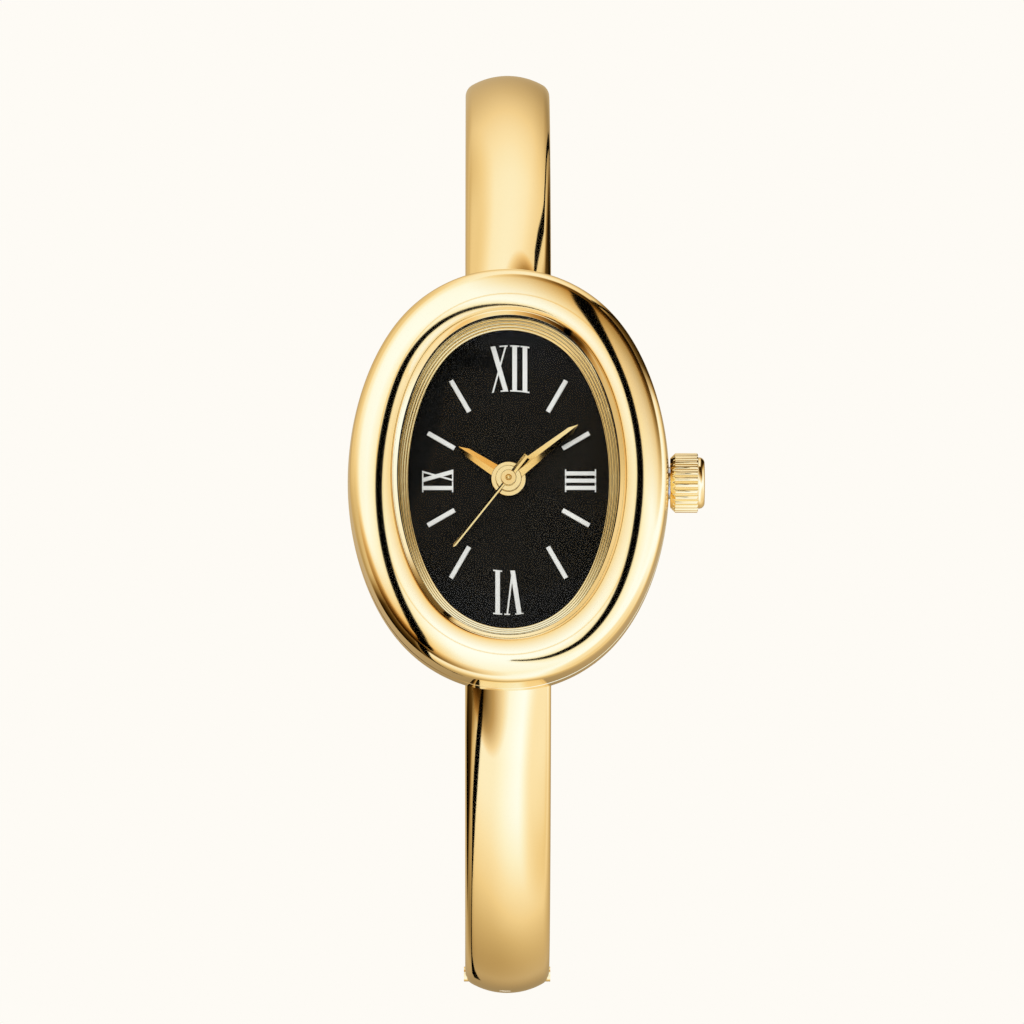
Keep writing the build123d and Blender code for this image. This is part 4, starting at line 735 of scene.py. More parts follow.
@dataclass
class Case:
    """Bezel, case middle and flange ring.

    Attributes:
        palette: materials.
        crest_inset: inset of the bezel's crest.
        crest_radius: radius of the broad crest.
        outer_turn: degrees of the crest on its outer side.
        inner_turn: degrees of the crest on its inner side.
        outer_shoulder: radius of the outer shoulder.
        inner_shoulder: radius of the inner shoulder.
        slope: degrees of the inner cone.
        edge: rounding of the edges.
        lip: inset of the inner lip, which covers most of the crystal's gasket.
        lip_gap: height of the lip over the crystal's face.
        foot_gap: height of the bezel's inner foot over it.
        bezel_edge: insets of the bezel's lower edge, before and after its rounding.
        case_edge: insets of the case's upper edge, before and after its rounding.
        neck: inset of the neck that the bezel is pressed on.
        neck_height: height of the neck over the widest line.
        recess_height: height of the bezel's recess for the neck, over the same line.
        mouth: inset of the neck's inner side, round the dial.
        chamber: inset of the movement's chamber.
        cover: inset of the opening for the caseback.
        cover_depth: how deep the caseback sits in.
        flank_width: how far the flank leans in.
        flank_radius: rounding towards the back face.
        screw_inset: distance of an arm screw from the oval's end.
        screw_radius: radius of its shank's hole.
        screw_depth: depth of that hole.
        head_radius: radius of its head's recess.
        head_depth: depth of that recess.
        overrun: how far a cutter stands out of the case.
        tube_radius: radius of the hole for the crown's tube.
        tube_span: X of the two ends of that hole's cutter.
        flange_gap: gap between the bezel's foot and the flange ring.
        flange_top: how far the ring's top lies under the crystal's face.
        flange_foot: height of the lowest tread over the dial.
        tread: width of a tread.
        treads: how many there are.
        nose: rounding of a tread.
        groove: size of the fine groove behind a tread.
    """

    palette: Palette
    crest_inset: float = 1.65
    crest_radius: float = 4.2
    outer_turn: float = 12.5
    inner_turn: float = 11.0
    outer_shoulder: float = 0.8
    inner_shoulder: float = 0.45
    slope: float = 50.0
    edge: float = 0.04
    lip: float = 2.92
    lip_gap: float = 0.02
    foot_gap: float = 0.01
    bezel_edge: Point2 = (0.22, 0.16)
    case_edge: Point2 = (0.155, 0.2)
    neck: float = 1.15
    neck_height: float = 2.3
    recess_height: float = 2.35
    mouth: float = 2.75
    chamber: float = 3.15
    cover: float = 2.85
    cover_depth: float = 0.55
    flank_width: float = 0.75
    flank_radius: float = 0.5
    screw_inset: float = 1.5
    screw_radius: float = 0.41
    screw_depth: float = 2.0
    head_radius: float = 0.61
    head_depth: float = 0.32
    overrun: float = 0.5
    tube_radius: float = 0.955
    tube_span: Point2 = (5.5, 11.0)
    flange_gap: float = 0.02
    flange_top: float = 0.85
    flange_foot: float = 0.22
    tread: float = 0.142
    treads: int = 5
    nose: float = 0.052
    groove: float = 0.012

    def crest(self) -> list[Point2]:
        """Outline from the widest line over the crest to the inner foot, as inset and depth."""
        crest = (self.crest_inset, SIZES.crest - self.crest_radius)
        outer = polar(crest, self.crest_radius - self.outer_shoulder, 90 + self.outer_turn)
        inner = polar(crest, self.crest_radius - self.inner_shoulder, 90 - self.inner_turn)
        rise = outer[1] - SIZES.widest
        side = (outer[0] ** 2 + rise**2 - self.outer_shoulder**2) / (2 * (outer[0] - self.outer_shoulder))
        turn = degrees(atan2(rise, side - outer[0]))
        foot = SIZES.crystal + self.lip_gap
        line = arc((side, SIZES.widest), side, 180, 180 - turn, 12)
        line += arc(outer, self.outer_shoulder, 180 - turn, 90 + self.outer_turn, 24)[1:]
        line += arc(crest, self.crest_radius, 90 + self.outer_turn, 90 - self.inner_turn, 16)[1:]
        line += arc(inner, self.inner_shoulder, 90 - self.inner_turn, 90 - self.slope, 14)[1:]
        return line + [(self.lip - self.edge / 2, foot + self.edge / 2), (self.lip, foot)]

    def bezel(self) -> None:
        """Makes the fat polished ring."""
        line = [point for point in self.crest() if point[1] > SIZES.seam + self.edge]
        low, high = self.bezel_edge
        top = SIZES.widest + self.recess_height
        section = [(low, SIZES.seam), (high, SIZES.seam + self.edge)] + line
        section += [(SIZES.band, SIZES.crystal + self.foot_gap), (SIZES.band, top), (self.neck, top),
                    (self.neck, SIZES.seam)]
        piece = make_object("bezel_ring", *oval_sweep(section, 1.0), sharp=38)
        self.palette.dress(piece, Slot.GOLD, "case", "bezel")

    def middle(self) -> None:
        """Makes the case middle with its flank, the tube's hole and the two screw holes."""
        upper = [point for point in self.crest() if point[1] < SIZES.seam - self.edge]
        low, high = self.case_edge
        top, ledge = SIZES.widest + self.neck_height, SIZES.back + self.cover_depth
        section = self.flank() + upper[1:] + [(low, SIZES.seam - self.edge), (high, SIZES.seam)]
        section += [(self.neck, SIZES.seam), (self.neck, top), (self.mouth, top),
                    (self.mouth, SIZES.dial_back), (self.chamber, SIZES.dial_back), (self.chamber, ledge),
                    (self.cover, ledge), (self.cover, SIZES.back)]
        body = make_object("case_body", *oval_sweep(section), sharp=38)
        cutters = [self.screw_hole(1), self.screw_hole(-1), self.tube_hole()]
        piece = boolean("case_middle_body", body, [(Cut.DIFFERENCE, cutter) for cutter in cutters], 38)
        self.palette.dress(piece, Slot.GOLD, "case", "case_middle")

    def flank(self) -> list[Point2]:
        """Rounded flank from the back face up to the widest line, as inset and depth."""
        height, width, radius = SIZES.widest - SIZES.back, self.flank_width, self.flank_radius
        big = (width**2 + height**2 - 2 * height * radius) / (2 * (width - radius))
        centre = (width, SIZES.back + radius)
        big_centre = (big, SIZES.widest)
        turn = degrees(atan2(big_centre[1] - centre[1], big_centre[0] - centre[0]))
        line = arc(big_centre, big, 180, 180 + turn, 14)
        line += arc(centre, radius, 180 + turn, 270, 12)[1:]
        return line[::-1]

    def screw_hole(self, side: int) -> bpy.types.Object:
        """Cutter for one arm screw.

        Args:
            side: 1 at 12 o'clock, -1 at 6 o'clock.

        Returns:
            The cutter.
        """
        z = side * (SIZES.half_height - self.screw_inset)
        ledge = SIZES.back + self.head_depth
        profile = [(self.screw_radius, SIZES.back + self.screw_depth), (self.screw_radius, ledge),
                   (self.head_radius, ledge), (self.head_radius, SIZES.back - self.overrun)]
        return make_object("cutter", *lathe(profile, 40, lambda u, v, h: (u, -h, z + v)))

    def tube_hole(self) -> bpy.types.Object:
        """Cutter for the crown's tube."""
        profile = [(self.tube_radius, end) for end in self.tube_span]
        return make_object("cutter", *lathe(profile, 48, lambda u, v, h: (h, -SIZES.crown + u, v)))

    def flange(self) -> None:
        """Makes the stepped ring with rounded treads under the crystal."""
        outer = SIZES.band + self.flange_gap
        top, foot = SIZES.crystal - self.flange_top, SIZES.dial + self.flange_foot
        fall = (top - foot) / (self.treads - 1)
        section = [(outer, SIZES.dial), (outer, top)]
        for step in range(self.treads):
            depth, inset = top - step * fall, outer + step * self.tread
            corner = (inset + self.tread - self.nose, depth - self.nose)
            if step:
                section.append((inset + self.groove, depth - self.groove))
            section += arc(corner, self.nose, 90, 0, 6)
        section.append((outer + self.tread * self.treads, SIZES.dial))
        piece = make_object("flange_steps", *oval_sweep(section), sharp=42)
        self.palette.dress(piece, Slot.GOLD, "case", "flange_ring")

    def build(self) -> None:
        """Makes every piece of the case."""
        self.bezel()
        self.middle()
        self.flange()


def on_dial(angle: float, rise: float = 0.0) -> Place:
    """Placement on the dial: across, outward along a clock angle, and height over the dial.

    Args:
        angle: clock angle in degrees.
        rise: height that is added to each height.

    Returns:
        The function that places a point.
    """
    turn = radians(angle)

    def place(across: float, outward: float, height: float) -> Point3:
        """Point for a place across, a place outward and a height over the dial."""
        x = across * cos(turn) + outward * sin(turn)
        z = -across * sin(turn) + outward * cos(turn)
        return x, -(SIZES.dial + rise + height), z

    return place


class Weight(Enum):
    """Widths of the numerals' strokes."""

    THICK = 0.28
    MEDIUM = 0.245
    THIN = 0.105
    SERIF = 0.08


@dataclass(frozen=True)
class LetterSizes:
    """Sizes that the letters of all numerals share.

    Attributes:
        layer: how much lower each later layer lies, so that no two faces share a plane.
        stroke_bevel: bevel of a stroke's edges.
        bar_bevel: bevel of a serif's edges.
        overhang: how far a serif stands out beside a stroke of the I.
        wide: half of the serif on a thick slanted stroke.
        narrow: half of the serif on a thin slanted stroke.
        spread_x: half-width of the X for each millimetre of its height.
        spread_v: half-width of the V.
        foot_v: place of the V's foot across.
    """

    layer: float = 0.004
    stroke_bevel: float = 0.02
    bar_bevel: float = 0.015
    overhang: float = 0.125
    wide: float = 0.24
    narrow: float = 0.17
    spread_x: float = 0.13974820143885
    spread_v: float = 0.36
    foot_v: float = 0.04


LETTERS = LetterSizes()


@dataclass
class Numeral:
    """A Roman numeral of raised strokes, upright when read from the centre outwards.

    Attributes:
        name: name of the piece.
        letters: letters and the place of each across the numeral.
        angle: clock angle.
        centre: place outwards from the centre arbor.
        shift: place across.
        height: height of the letters.
        bend: how much the letters' ends follow the oval.
        thick: width of the thick strokes.
        raised: height of the strokes over the dial.
    """

    name: str
    letters: list[tuple[str, float]]
    angle: float
    centre: float
    shift: float
    height: float
    bend: float
    thick: Weight = Weight.THICK
    raised: float = 0.07

    def stroke(self, start: Point2, end: Point2, width: float, layer: int) -> Skin:
        """Straight stroke between two points, cut square to the letter's lines.

        Args:
            start: its foot, across and up the letter.
            end: its top.
            width: its width, square to its length.
            layer: its layer, 0 for the highest.

        Returns:
            Points and faces.
        """
        steps, place, half = 6, on_dial(self.angle), width / 2
        slant = hypot(end[0] - start[0], end[1] - start[1]) / max(1e-6, abs(end[1] - start[1]))
        high, bevel = self.raised - LETTERS.layer * layer, min(LETTERS.stroke_bevel, half / 3)
        shape = ridge(half * slant, high, bevel)
        rows = []
        for step in range(steps + 1):
            share = step / steps
            u = start[0] + (end[0] - start[0]) * share
            v = start[1] + (end[1] - start[1]) * share
            rows.append([place(self.shift + u + side, self.centre + self.curve(u + side, v), height)
                         for side, height in shape])
        return loft(rows, closed=False)

    def bar(self, u: float, half: float, v: float, layer: int) -> Skin:
        """Serif along the letters' end, which follows the oval.

        Args:
            u: place of its middle across.
            half: half of its length.
            v: place of its middle up the letter.
            layer: its layer, 0 for the highest.

        Returns:
            Points and faces.
        """
        steps, place = 10, on_dial(self.angle)
        left, right = u - half, u + half
        shape = ridge(Weight.SERIF.value / 2, self.raised - LETTERS.layer * layer, LETTERS.bar_bevel)
        rows = []
        for step in range(steps + 1):
            here = left + (right - left) * step / steps
            rows.append([place(self.shift + here, self.centre + self.curve(here, v + side), height)
                         for side, height in shape])
        return loft(rows, closed=False)

    def curve(self, u: float, v: float) -> float:
        """Height of a point once the letters are bent along the oval."""
        return v - self.bend * u * u

    def letter(self, kind: str, u: float) -> list[Skin]:
        """Strokes and serifs of one letter.

        Args:
            kind: I, V or X.
            u: place of its middle across.

        Returns:
            Points and faces of each.
        """
        top, foot = self.height / 2, -self.height / 2
        thick, thin, end = self.thick.value, Weight.THIN.value, top - Weight.SERIF.value / 2
        if kind == "I":
            reach = thick / 2 + LETTERS.overhang
            return [self.stroke((u, foot), (u, top), thick, 0), self.bar(u, reach, end, 1),
                    self.bar(u, reach, -end, 1)]
        if kind == "X":
            half = LETTERS.spread_x * self.height
            parts = [self.stroke((u + half, foot), (u - half, top), thick, 0),
                     self.stroke((u - half, foot), (u + half, top), thin, 1)]
            # Known fault: these serifs are placed from the numeral's middle, without the letter's own u.
            for place, sign in ((-half, 1), (half, -1)):
                parts.append(self.bar(place, LETTERS.wide, sign * end, 2))
                parts.append(self.bar(place, LETTERS.narrow, -sign * end, 2))
            return parts
        half, tip = LETTERS.spread_v, u + LETTERS.foot_v
        return [self.stroke((tip, foot), (u - half, top), thick, 0),
                self.stroke((tip, foot), (u + half, top), thin, 1),
                self.bar(u - half, LETTERS.wide, end, 2),
                self.bar(u + half, LETTERS.narrow, end, 2)]

    def build(self, palette: Palette) -> None:
        """Makes the numeral.

        Args:
            palette: materials.
        """
        parts = []
        for kind, u in self.letters:
            parts += self.letter(kind, u)
        piece = make_object(self.name, *join(parts), sharp=20)
        palette.dress(piece, Slot.SILVER, "case")


NUMERALS = (
    Numeral("numeral_12", [("X", -0.63), ("I", 0.27), ("I", 0.88)], 0, 6.62, 0.09, 2.76, 0.075),
    Numeral("numeral_6", [("V", -0.3), ("I", 0.62)], 180, 6.76, 0.02, 2.64, 0.075),
    Numeral("numeral_3", [("I", -0.43), ("I", 0), ("I", 0.43)], 90, 4.25, 0.08, 1.84, 0.0, Weight.MEDIUM),
    Numeral("numeral_9", [("I", -0.48), ("X", 0.24)], 270, 4.18, -0.04, 1.84, 0.0, Weight.MEDIUM),
)


@dataclass
class DialWork:
    """Dial plate, batons and numerals.

    Attributes:
        palette: materials.
        rim: inset of the dial's edge from the case's oval.
        hole: radius of the hole for the hands' pipes.
        long_baton: length and outer end of the batons at 1, 5, 7 and 11.
        short_baton: length and outer end of those at 2, 4, 8 and 10.
        baton_half: half of a baton's width.
        baton_height: height of a baton.
        baton_bevel: bevel of its edges.
    """

    palette: Palette
    rim: float = 2.8
    hole: float = 0.6
    long_baton: Point2 = (2.15, 6.797)
    short_baton: Point2 = (1.82, 5.5)
    baton_half: float = 0.14
    baton_height: float = 0.1
    baton_bevel: float = 0.03

    def plate(self) -> None:
        """Makes the dial with its hole."""
        count, low, high = 240, SIZES.dial_back, SIZES.dial
        rings = []
        for index in range(count):
            turn = 360 * index / count
            ring = []
            for depth in (low, high):
                x, z = CASE_OVAL.point(turn, -self.rim)
                ring.append((x, -depth, z))
            for depth in (high, low):
                ring.append((self.hole * cos(radians(turn)), -depth, self.hole * sin(radians(turn))))
            rings.append(ring)
        piece = make_object("dial_plate", *loft(rings, closed=True), sharp=25)
        self.palette.dress(piece, Slot.DIAL, "case", "dial")

    def baton(self) -> bpy.types.Object:
        """Shape of a baton of length 1."""
        shape = ridge(self.baton_half, self.baton_height, self.baton_bevel)
        rows = [[(side, -height, end) for side, height in shape] for end in (-0.5, 0.5)]
        return make_object("baton_shape", *loft(rows, closed=False), sharp=20)

    def baton_places(self) -> bpy.types.Object:
        """Points in the middle of each baton, which carry its angle and length."""
        rows = [(hour, *self.long_baton) for hour in (1, 5, 7, 11)]
        rows += [(hour, *self.short_baton) for hour in (2, 4, 8, 10)]
        mesh = bpy.data.meshes.new("baton_places")
        places = [on_dial(30.0 * hour)(0, end - length / 2, 0) for hour, length, end in rows]
        mesh.from_pydata(places, [], [])
        mesh.vertices.foreach_set("co", [c * MM for v in mesh.vertices for c in v.co])
        turns = mesh.attributes.new("clock_turn", "FLOAT", "POINT")
        turns.data.foreach_set("value", [radians(30.0 * hour) for hour, _, _ in rows])
        lengths = mesh.attributes.new("baton_length", "FLOAT", "POINT")
        lengths.data.foreach_set("value", [length for _, length, _ in rows])
        made = bpy.data.objects.new("baton_points", mesh)
        bpy.context.scene.collection.objects.link(made)
        return made

    def baton_nodes(self) -> tuple[bpy.types.NodeTree, str, str]:
        """Geometry nodes that set a shape out on points by their angle and length.

        Returns:
            The node group, and the identifiers of its inputs for the shape and for the finish.
        """
        tree = bpy.data.node_groups.new("set_out_batons", "GeometryNodeTree")
        tree.interface.new_socket("Geometry", in_out="INPUT", socket_type="NodeSocketGeometry")
        shape = tree.interface.new_socket("Baton", in_out="INPUT", socket_type="NodeSocketObject")
        finish = tree.interface.new_socket("Finish", in_out="INPUT", socket_type="NodeSocketMaterial")
        tree.interface.new_socket("Geometry", in_out="OUTPUT", socket_type="NodeSocketGeometry")
        nodes = Nodes(tree)
        start, end = nodes.node("NodeGroupInput"), nodes.node("NodeGroupOutput")
        info = nodes.node("GeometryNodeObjectInfo")
        to_points = nodes.node("GeometryNodeMeshToPoints")
        instance = nodes.node("GeometryNodeInstanceOnPoints")
        turn = nodes.node("GeometryNodeInputNamedAttribute", data_type="FLOAT", Name="clock_turn")
        length = nodes.node("GeometryNodeInputNamedAttribute", data_type="FLOAT", Name="baton_length")
        rotation = nodes.node("ShaderNodeCombineXYZ")
        scale = nodes.node("ShaderNodeCombineXYZ", X=1.0, Y=1.0)
        realize = nodes.node("GeometryNodeRealizeInstances")
        look = nodes.node("GeometryNodeSetMaterial")
        for source, output, target, entry in (
            (start, "Geometry", to_points, "Mesh"), (start, "Baton", info, "Object"),
            (to_points, "Points", instance, "Points"), (info, "Geometry", instance, "Instance"),
            (turn, "Attribute", rotation, "Y"), (length, "Attribute", scale, "Z"),
            (rotation, "Vector", instance, "Rotation"), (scale, "Vector", instance, "Scale"),
            (instance, "Instances", realize, "Geometry"), (realize, "Geometry", look, "Geometry"),
            (start, "Finish", look, "Material"), (look, "Geometry", end, "Geometry"),
        ):
            nodes.link(source.outputs[output], target.inputs[entry])
        return tree, shape.identifier, finish.identifier

    def batons(self) -> None:
        """Makes the eight batons with geometry nodes."""
        baton, holder = self.baton(), self.baton_places()
        tree, shape, finish = self.baton_nodes()
        modifier = holder.modifiers.new("batons", "NODES")
        modifier.node_group = tree
        modifier[shape] = baton
        modifier[finish] = self.palette.by_slot[Slot.SILVER]
        graph = bpy.context.evaluated_depsgraph_get()
        graph.update()
        mesh = bpy.data.meshes.new_from_object(holder.evaluated_get(graph))
        holder.modifiers.clear()
        bpy.data.objects.remove(holder)
        bpy.data.objects.remove(baton)
        self.palette.dress(link_smooth("hour_batons", mesh, 20), Slot.SILVER, "case", "hour_markers")

    def build(self) -> None:
        """Makes the dial and everything on it."""
        self.plate()
        self.batons()
        for numeral in NUMERALS:
            numeral.build(self.palette)


@dataclass
class Hand:
    """A hand with a ridged blade and a round hub.

    Attributes:
        name: name of the piece.
        body: body that it rides on.
        node: node that it stands for.
        angle: clock angle at rest.
        rise: height of its underside over the dial.
        outline: half-widths and reach of the blade, from the root to the tip.
        hub: radius of the hub.
        tail: half-width and length behind the hub, or nothing.
        thickness: height of the ridge.
        edge: height of the blade's edges.
        cap: height of the hub.
        foot: height of the hub's underside, from the blade's.
        pivot: radius of the arbor's end in its middle, or 0 where another hand lies over it.
        corner: rounding of the hub's edge.
        chamfer: chamfer of its lower edge.
        doming: height of the hub's middle over its edge.
        groove: reach of the groove round the pivot, at its top and at its floor.
        groove_depth: depth of the groove.
        flatness: height of the pivot's dome, as a share of its radius.
    """

    name: str
    body: str
    node: str
    angle: float
    rise: float
    outline: list[Point2]
    hub: float
    tail: Optional[Point2] = None
    thickness: float = 0.16
    edge: float = 0.05
    cap: float = 0.2
    foot: float = 0.0
    pivot: float = 0.0
    corner: float = 0.05
    chamfer: float = 0.02
    doming: float = 0.008
    groove: Point2 = (0.09, 0.045)
    groove_depth: float = 0.05
    flatness: float = 0.3

    def blade(self) -> Skin:
        """The ridged blade."""
        place = on_dial(self.angle, self.rise)
        spine = list(self.outline)
        if self.tail:
            spine = [(self.tail[0], -self.tail[1]), (self.tail[0], -0.02)] + spine
        root = max(half for half, _ in spine)
        rows = []
        for half, reach in spine:
            edge = self.thickness - (self.thickness - self.edge) * half / root
            rows.append([place(-half, reach, 0), place(-half, reach, edge), place(0, reach, self.thickness),
                         place(half, reach, edge), place(half, reach, 0)])
        return loft(rows, closed=False)

    def hub_disc(self) -> Skin:
        """Hub with rounded edges."""
        cap, pivot = self.cap, self.pivot
        profile = [(0, self.foot), (self.hub - self.chamfer, self.foot),
                   (self.hub, self.foot + self.chamfer)]
        profile += arc((self.hub - self.corner, cap - self.corner), self.corner, 0, 80, 7)
        if pivot:
            floor = cap - self.groove_depth
            profile += [(pivot + self.groove[0], cap + self.doming / 2), (pivot + self.groove[1], floor)]
            profile += [(pivot, floor), (pivot, cap)] + arc((0, cap), pivot, 10, 80, 5)
            profile.append((0, cap + pivot))
            profile = [(r, h if h <= cap else cap + (h - cap) * self.flatness) for r, h in profile]
        else:
            profile += [(self.hub * 0.5, cap + self.doming / 2), (0, cap + self.doming)]
        return lathe(profile, 72, on_dial(0.0, self.rise))

    def build(self, palette: Palette) -> None:
        """Makes the hand."""
        piece = make_object(self.name, *join([self.blade(), self.hub_disc()]), sharp=12)
        palette.dress(piece, Slot.GOLD, self.body, self.node)


@dataclass
class Crown:
    """Fluted crown.

    Attributes:
        palette: materials.
        start: X of its inner face.
        body: length of the fluted part.
        radius: radius over the flutes.
        root: radius between them.
        flutes: how many there are.
        crest: share of the pitch that a flute's crest takes.
        chamfer: chamfer towards the case.
        edge: rounding towards the cap.
        cap: radius of the cap.
        step: size of the fine step round the cap.
        rise: height of the cap.
        corner: rounding of the cap.
        doming: how much the cap falls from its middle to its corner.
        recess: radius and depth of the recess for the case's tube.
        stem_hole: radius of the stem's hole and its depth from the inner face.
        steps: points across one flute.
    """

    palette: Palette
    start: float = 9.56
    body: float = 1.64
    radius: float = 1.765
    root: float = 1.60
    flutes: int = 28
    crest: float = 0.86
    chamfer: float = 0.3
    edge: float = 0.1
    cap: float = 1.515
    step: float = 0.02
    rise: float = 0.41
    corner: float = 0.32
    doming: float = 0.02
    recess: Point2 = (1.1, 1.0)
    stem_hole: Point2 = (0.44, 1.35)
    steps: int = 14

    def flute(self, share: float) -> float:
        """Radius across one flute.

        Args:
            share: distance from the middle of a crest, as a share of the pitch.

        Returns:
            The radius.
        """
        place = abs(share - round(share)) * 2
        crest = sqrt(max(0.0, 1 - (place / self.crest) ** 2)) if place < self.crest else 0.0
        return self.root + (self.radius - self.root) * crest

    def fluted_rows(self) -> list[Point2]:
        """X and limit of the radius for each ring of the fluted part."""
        rows = []
        for step in range(1, 11):
            share = step / 10
            rows.append((self.start + self.chamfer * share, self.radius - self.chamfer * (1 - share)))
        end = self.start + self.body
        rows.append((end - self.edge, self.radius))
        for turn in (20, 40, 60, 80):
            rows.append((end - self.edge + self.edge * sin(radians(turn)),
                         self.radius - self.edge * (1 - cos(radians(turn)))))
        return rows

    def cap_rows(self) -> list[Point2]:
        """X and radius for each ring of the smooth cap."""
        end = self.start + self.body
        line = [(self.cap + self.step, end), (self.cap, end + self.step)]
        centre = (self.cap - self.corner, end + self.rise - self.corner - self.doming)
        line += arc(centre, self.corner, 0, 86, 12)
        line += [(self.cap * 0.55, end + self.rise - 0.4 * self.doming), (self.cap * 0.2, end + self.rise)]
        return [(x, radius) for radius, x in line]

    def bore(self) -> bpy.types.Object:
        """Cutter for the recess and the stem's hole."""
        (wide, shallow), (narrow, deep) = self.recess, self.stem_hole
        profile = [(wide, self.start - 0.5), (wide, self.start + shallow), (narrow, self.start + shallow),
                   (narrow, self.start + deep)]
        return make_object("cutter", *lathe(profile, 64, lambda u, v, h: (h, -SIZES.crown + u, v)))

    def build(self) -> None:
        """Makes the crown."""
        count = self.flutes * self.steps
        turns = [2 * pi * index / count for index in range(count)]
        flutes = [self.flute(index / self.steps) for index in range(count)]
        rows = [(self.start, [self.radius - self.chamfer] * count)]
        rows += [(x, [min(limit, flute) for flute in flutes]) for x, limit in self.fluted_rows()]
        rows += [(x, [radius] * count) for x, radius in self.cap_rows()]
        rings = [[(x, -SIZES.crown + radius * cos(turn), radius * sin(turn))
                  for radius, turn in zip(radii, turns)] for x, radii in rows]
        body = make_object("fluted_crown", *loft(rings, closed=False), sharp=34)
        piece = boolean("fluted_crown", body, [(Cut.DIFFERENCE, self.bore())], 34)
        self.palette.dress(piece, Slot.GOLD, "crown_group", "crown")


@dataclass
class Bangle:
    """The two front arms and the rear half.

    Angles go from the front over the top to the back, in degrees.

    Attributes:
        palette: materials.
        width: width of the section.
        side: height of its straight sides.
        thickness: height at the middle.
        shoulder: rounding between side and dome.
        inner: rounding of the inner edges.
        half_height: half of the height of the inner face.
        depth_share: depth of the inner face, as a share of its height.
        end_share: radius of the inner face at its top, as a share of its half height.
        upper_angle: angle where the upper arm starts, inside the case.
        lower_angle: angle where the lower arm ends, inside the case.
        hinge_angle: angle of the hinge.
        mouth_angle: angle of the joint between the lower arm and the rear half.
        mouth_gap: degrees that the rear half stays clear of the lower arm.
        pin_height: height of the hinge pin over the inner face.
        clasp_height: height of the clasp's middle over the inner face.
        clearance: radius of the room round a knuckle.
        knuckle_radius: radius of a knuckle.
        knuckle_reach: degrees of the band that a knuckle is cut from, to each side.
        outer_knuckle: X of the two ends of an outer knuckle.
        middle_knuckle: half of the middle knuckle's length.
        web: length of the web behind a knuckle, and half of its height.
        pin_hole: radius of the pin's hole in the upper arm.
        turning_hole: radius of the hole in the rear half, which turns on the pin.
        clasp_slots: half-width, start, end and half-thickness of each slot for the clasp's tongue.
        oval: the inner face.
    """

    palette: Palette
    width: float = 5.05
    side: float = 0.75
    thickness: float = 2.0
    shoulder: float = 0.8
    inner: float = 0.28
    half_height: float = 25.75
    depth_share: float = 0.901
    end_share: float = 0.738
    upper_angle: float = 21.0
    lower_angle: float = 339.0
    hinge_angle: float = 99.0
    mouth_angle: float = 258.0
    mouth_gap: float = 0.18
    pin_height: float = 0.9
    clasp_height: float = 1.1
    clearance: float = 1.25
    knuckle_radius: float = 1.15
    knuckle_reach: float = 10.0
    outer_knuckle: Point2 = (0.96, 2.6)
    middle_knuckle: float = 0.9
    web: Point2 = (1.85, 2.6)
    pin_hole: float = 0.4
    turning_hole: float = 0.42
    clasp_slots: tuple[tuple[float, float, float, float], ...] = (
        (1.31, -0.6, 3.47, 0.36),
        (1.63, 2.26, 3.02, 0.36),
        (5.0, -0.6, 2.05, 0.51),
    )
    oval: Oval = field(init=False)

    def __post_init__(self) -> None:
        """Draws the inner face's oval."""
        self.oval = Oval(self.depth_share * self.half_height, self.half_height,
                         self.end_share * self.half_height, 12.0)

    def section(self) -> list[Point2]:
        """Section as X and height over the inner face, counter-clockwise."""
        half, dome = self.width / 2, self.thickness - self.side
        top = (half**2 + dome**2 - 2 * half * self.shoulder) / (2 * (dome - self.shoulder))
        centre = (half - self.shoulder, self.side)
        turn = degrees(atan2(self.side - (self.thickness - top), half - self.shoulder))
        right = arc((half - self.inner, self.inner), self.inner, 270, 360, 6)
        right += arc(centre, self.shoulder, 0, turn, 12)
        right += arc((0, self.thickness - top), top, turn, 90, 12)[1:]
        left = [(-x, y) for x, y in right[-2::-1]]
        return right + left

    def at(self, angle: float, x: float, height: float) -> Point3:
        """Point on the bangle at an angle and a height over the inner face."""
        depth, z = self.oval.point(angle, height)
        return x, -depth, z

    def band(self, name: str, low: float, high: float) -> bpy.types.Object:
        """Stretch of the bangle between two angles, in rings of at most 1.25 degrees.

        Args:
            name: name of the object.
            low: angle where it starts.
            high: angle where it ends.

        Returns:
            The object.
        """
        section = self.section()
        count = max(4, ceil((high - low) / 1.25))
        rings = []
        for index in range(count + 1):
            angle = low + (high - low) * index / count
            rings.append([self.at(angle, x, height) for x, height in section])
        return make_object(name, *loft(rings, closed=False), sharp=40)

    def rod(self, radius: float, low: float = -4, high: float = 4) -> bpy.types.Object:
        """Cylinder on the hinge's axis.

        Args:
            radius: its radius.
            low: X of one end.
            high: X of the other.

        Returns:
            The object.
        """
        _, y, z = self.at(self.hinge_angle, 0, self.pin_height)
        return make_object("cutter", *lathe([(radius, low), (radius, high)], 96,
                                            lambda u, v, h: (h, y + u, z + v)))

    def block(self, low: float, high: float, rear: bool) -> bpy.types.Object:
        """Block beside the hinge, on one side of its axis.

        Args:
            low: X of one end.
            high: X of the other.
            rear: whether it lies towards the rear half.

        Returns:
            The object.
        """
        reach, half = self.web
        out = (-cos(radians(self.hinge_angle)), sin(radians(self.hinge_angle)))
        along = (out[1], -out[0]) if rear else (-out[1], out[0])
        _, y, z = self.at(self.hinge_angle, 0, self.pin_height)
        rows = []
        for x in (low, high):
            rows.append([(x, y + along[0] * a + out[0] * b, z + along[1] * a + out[1] * b)
                         for a, b in ((0, -half), (reach, -half), (reach, half), (0, half))])
        return make_object("cutter", *loft(rows, closed=False))

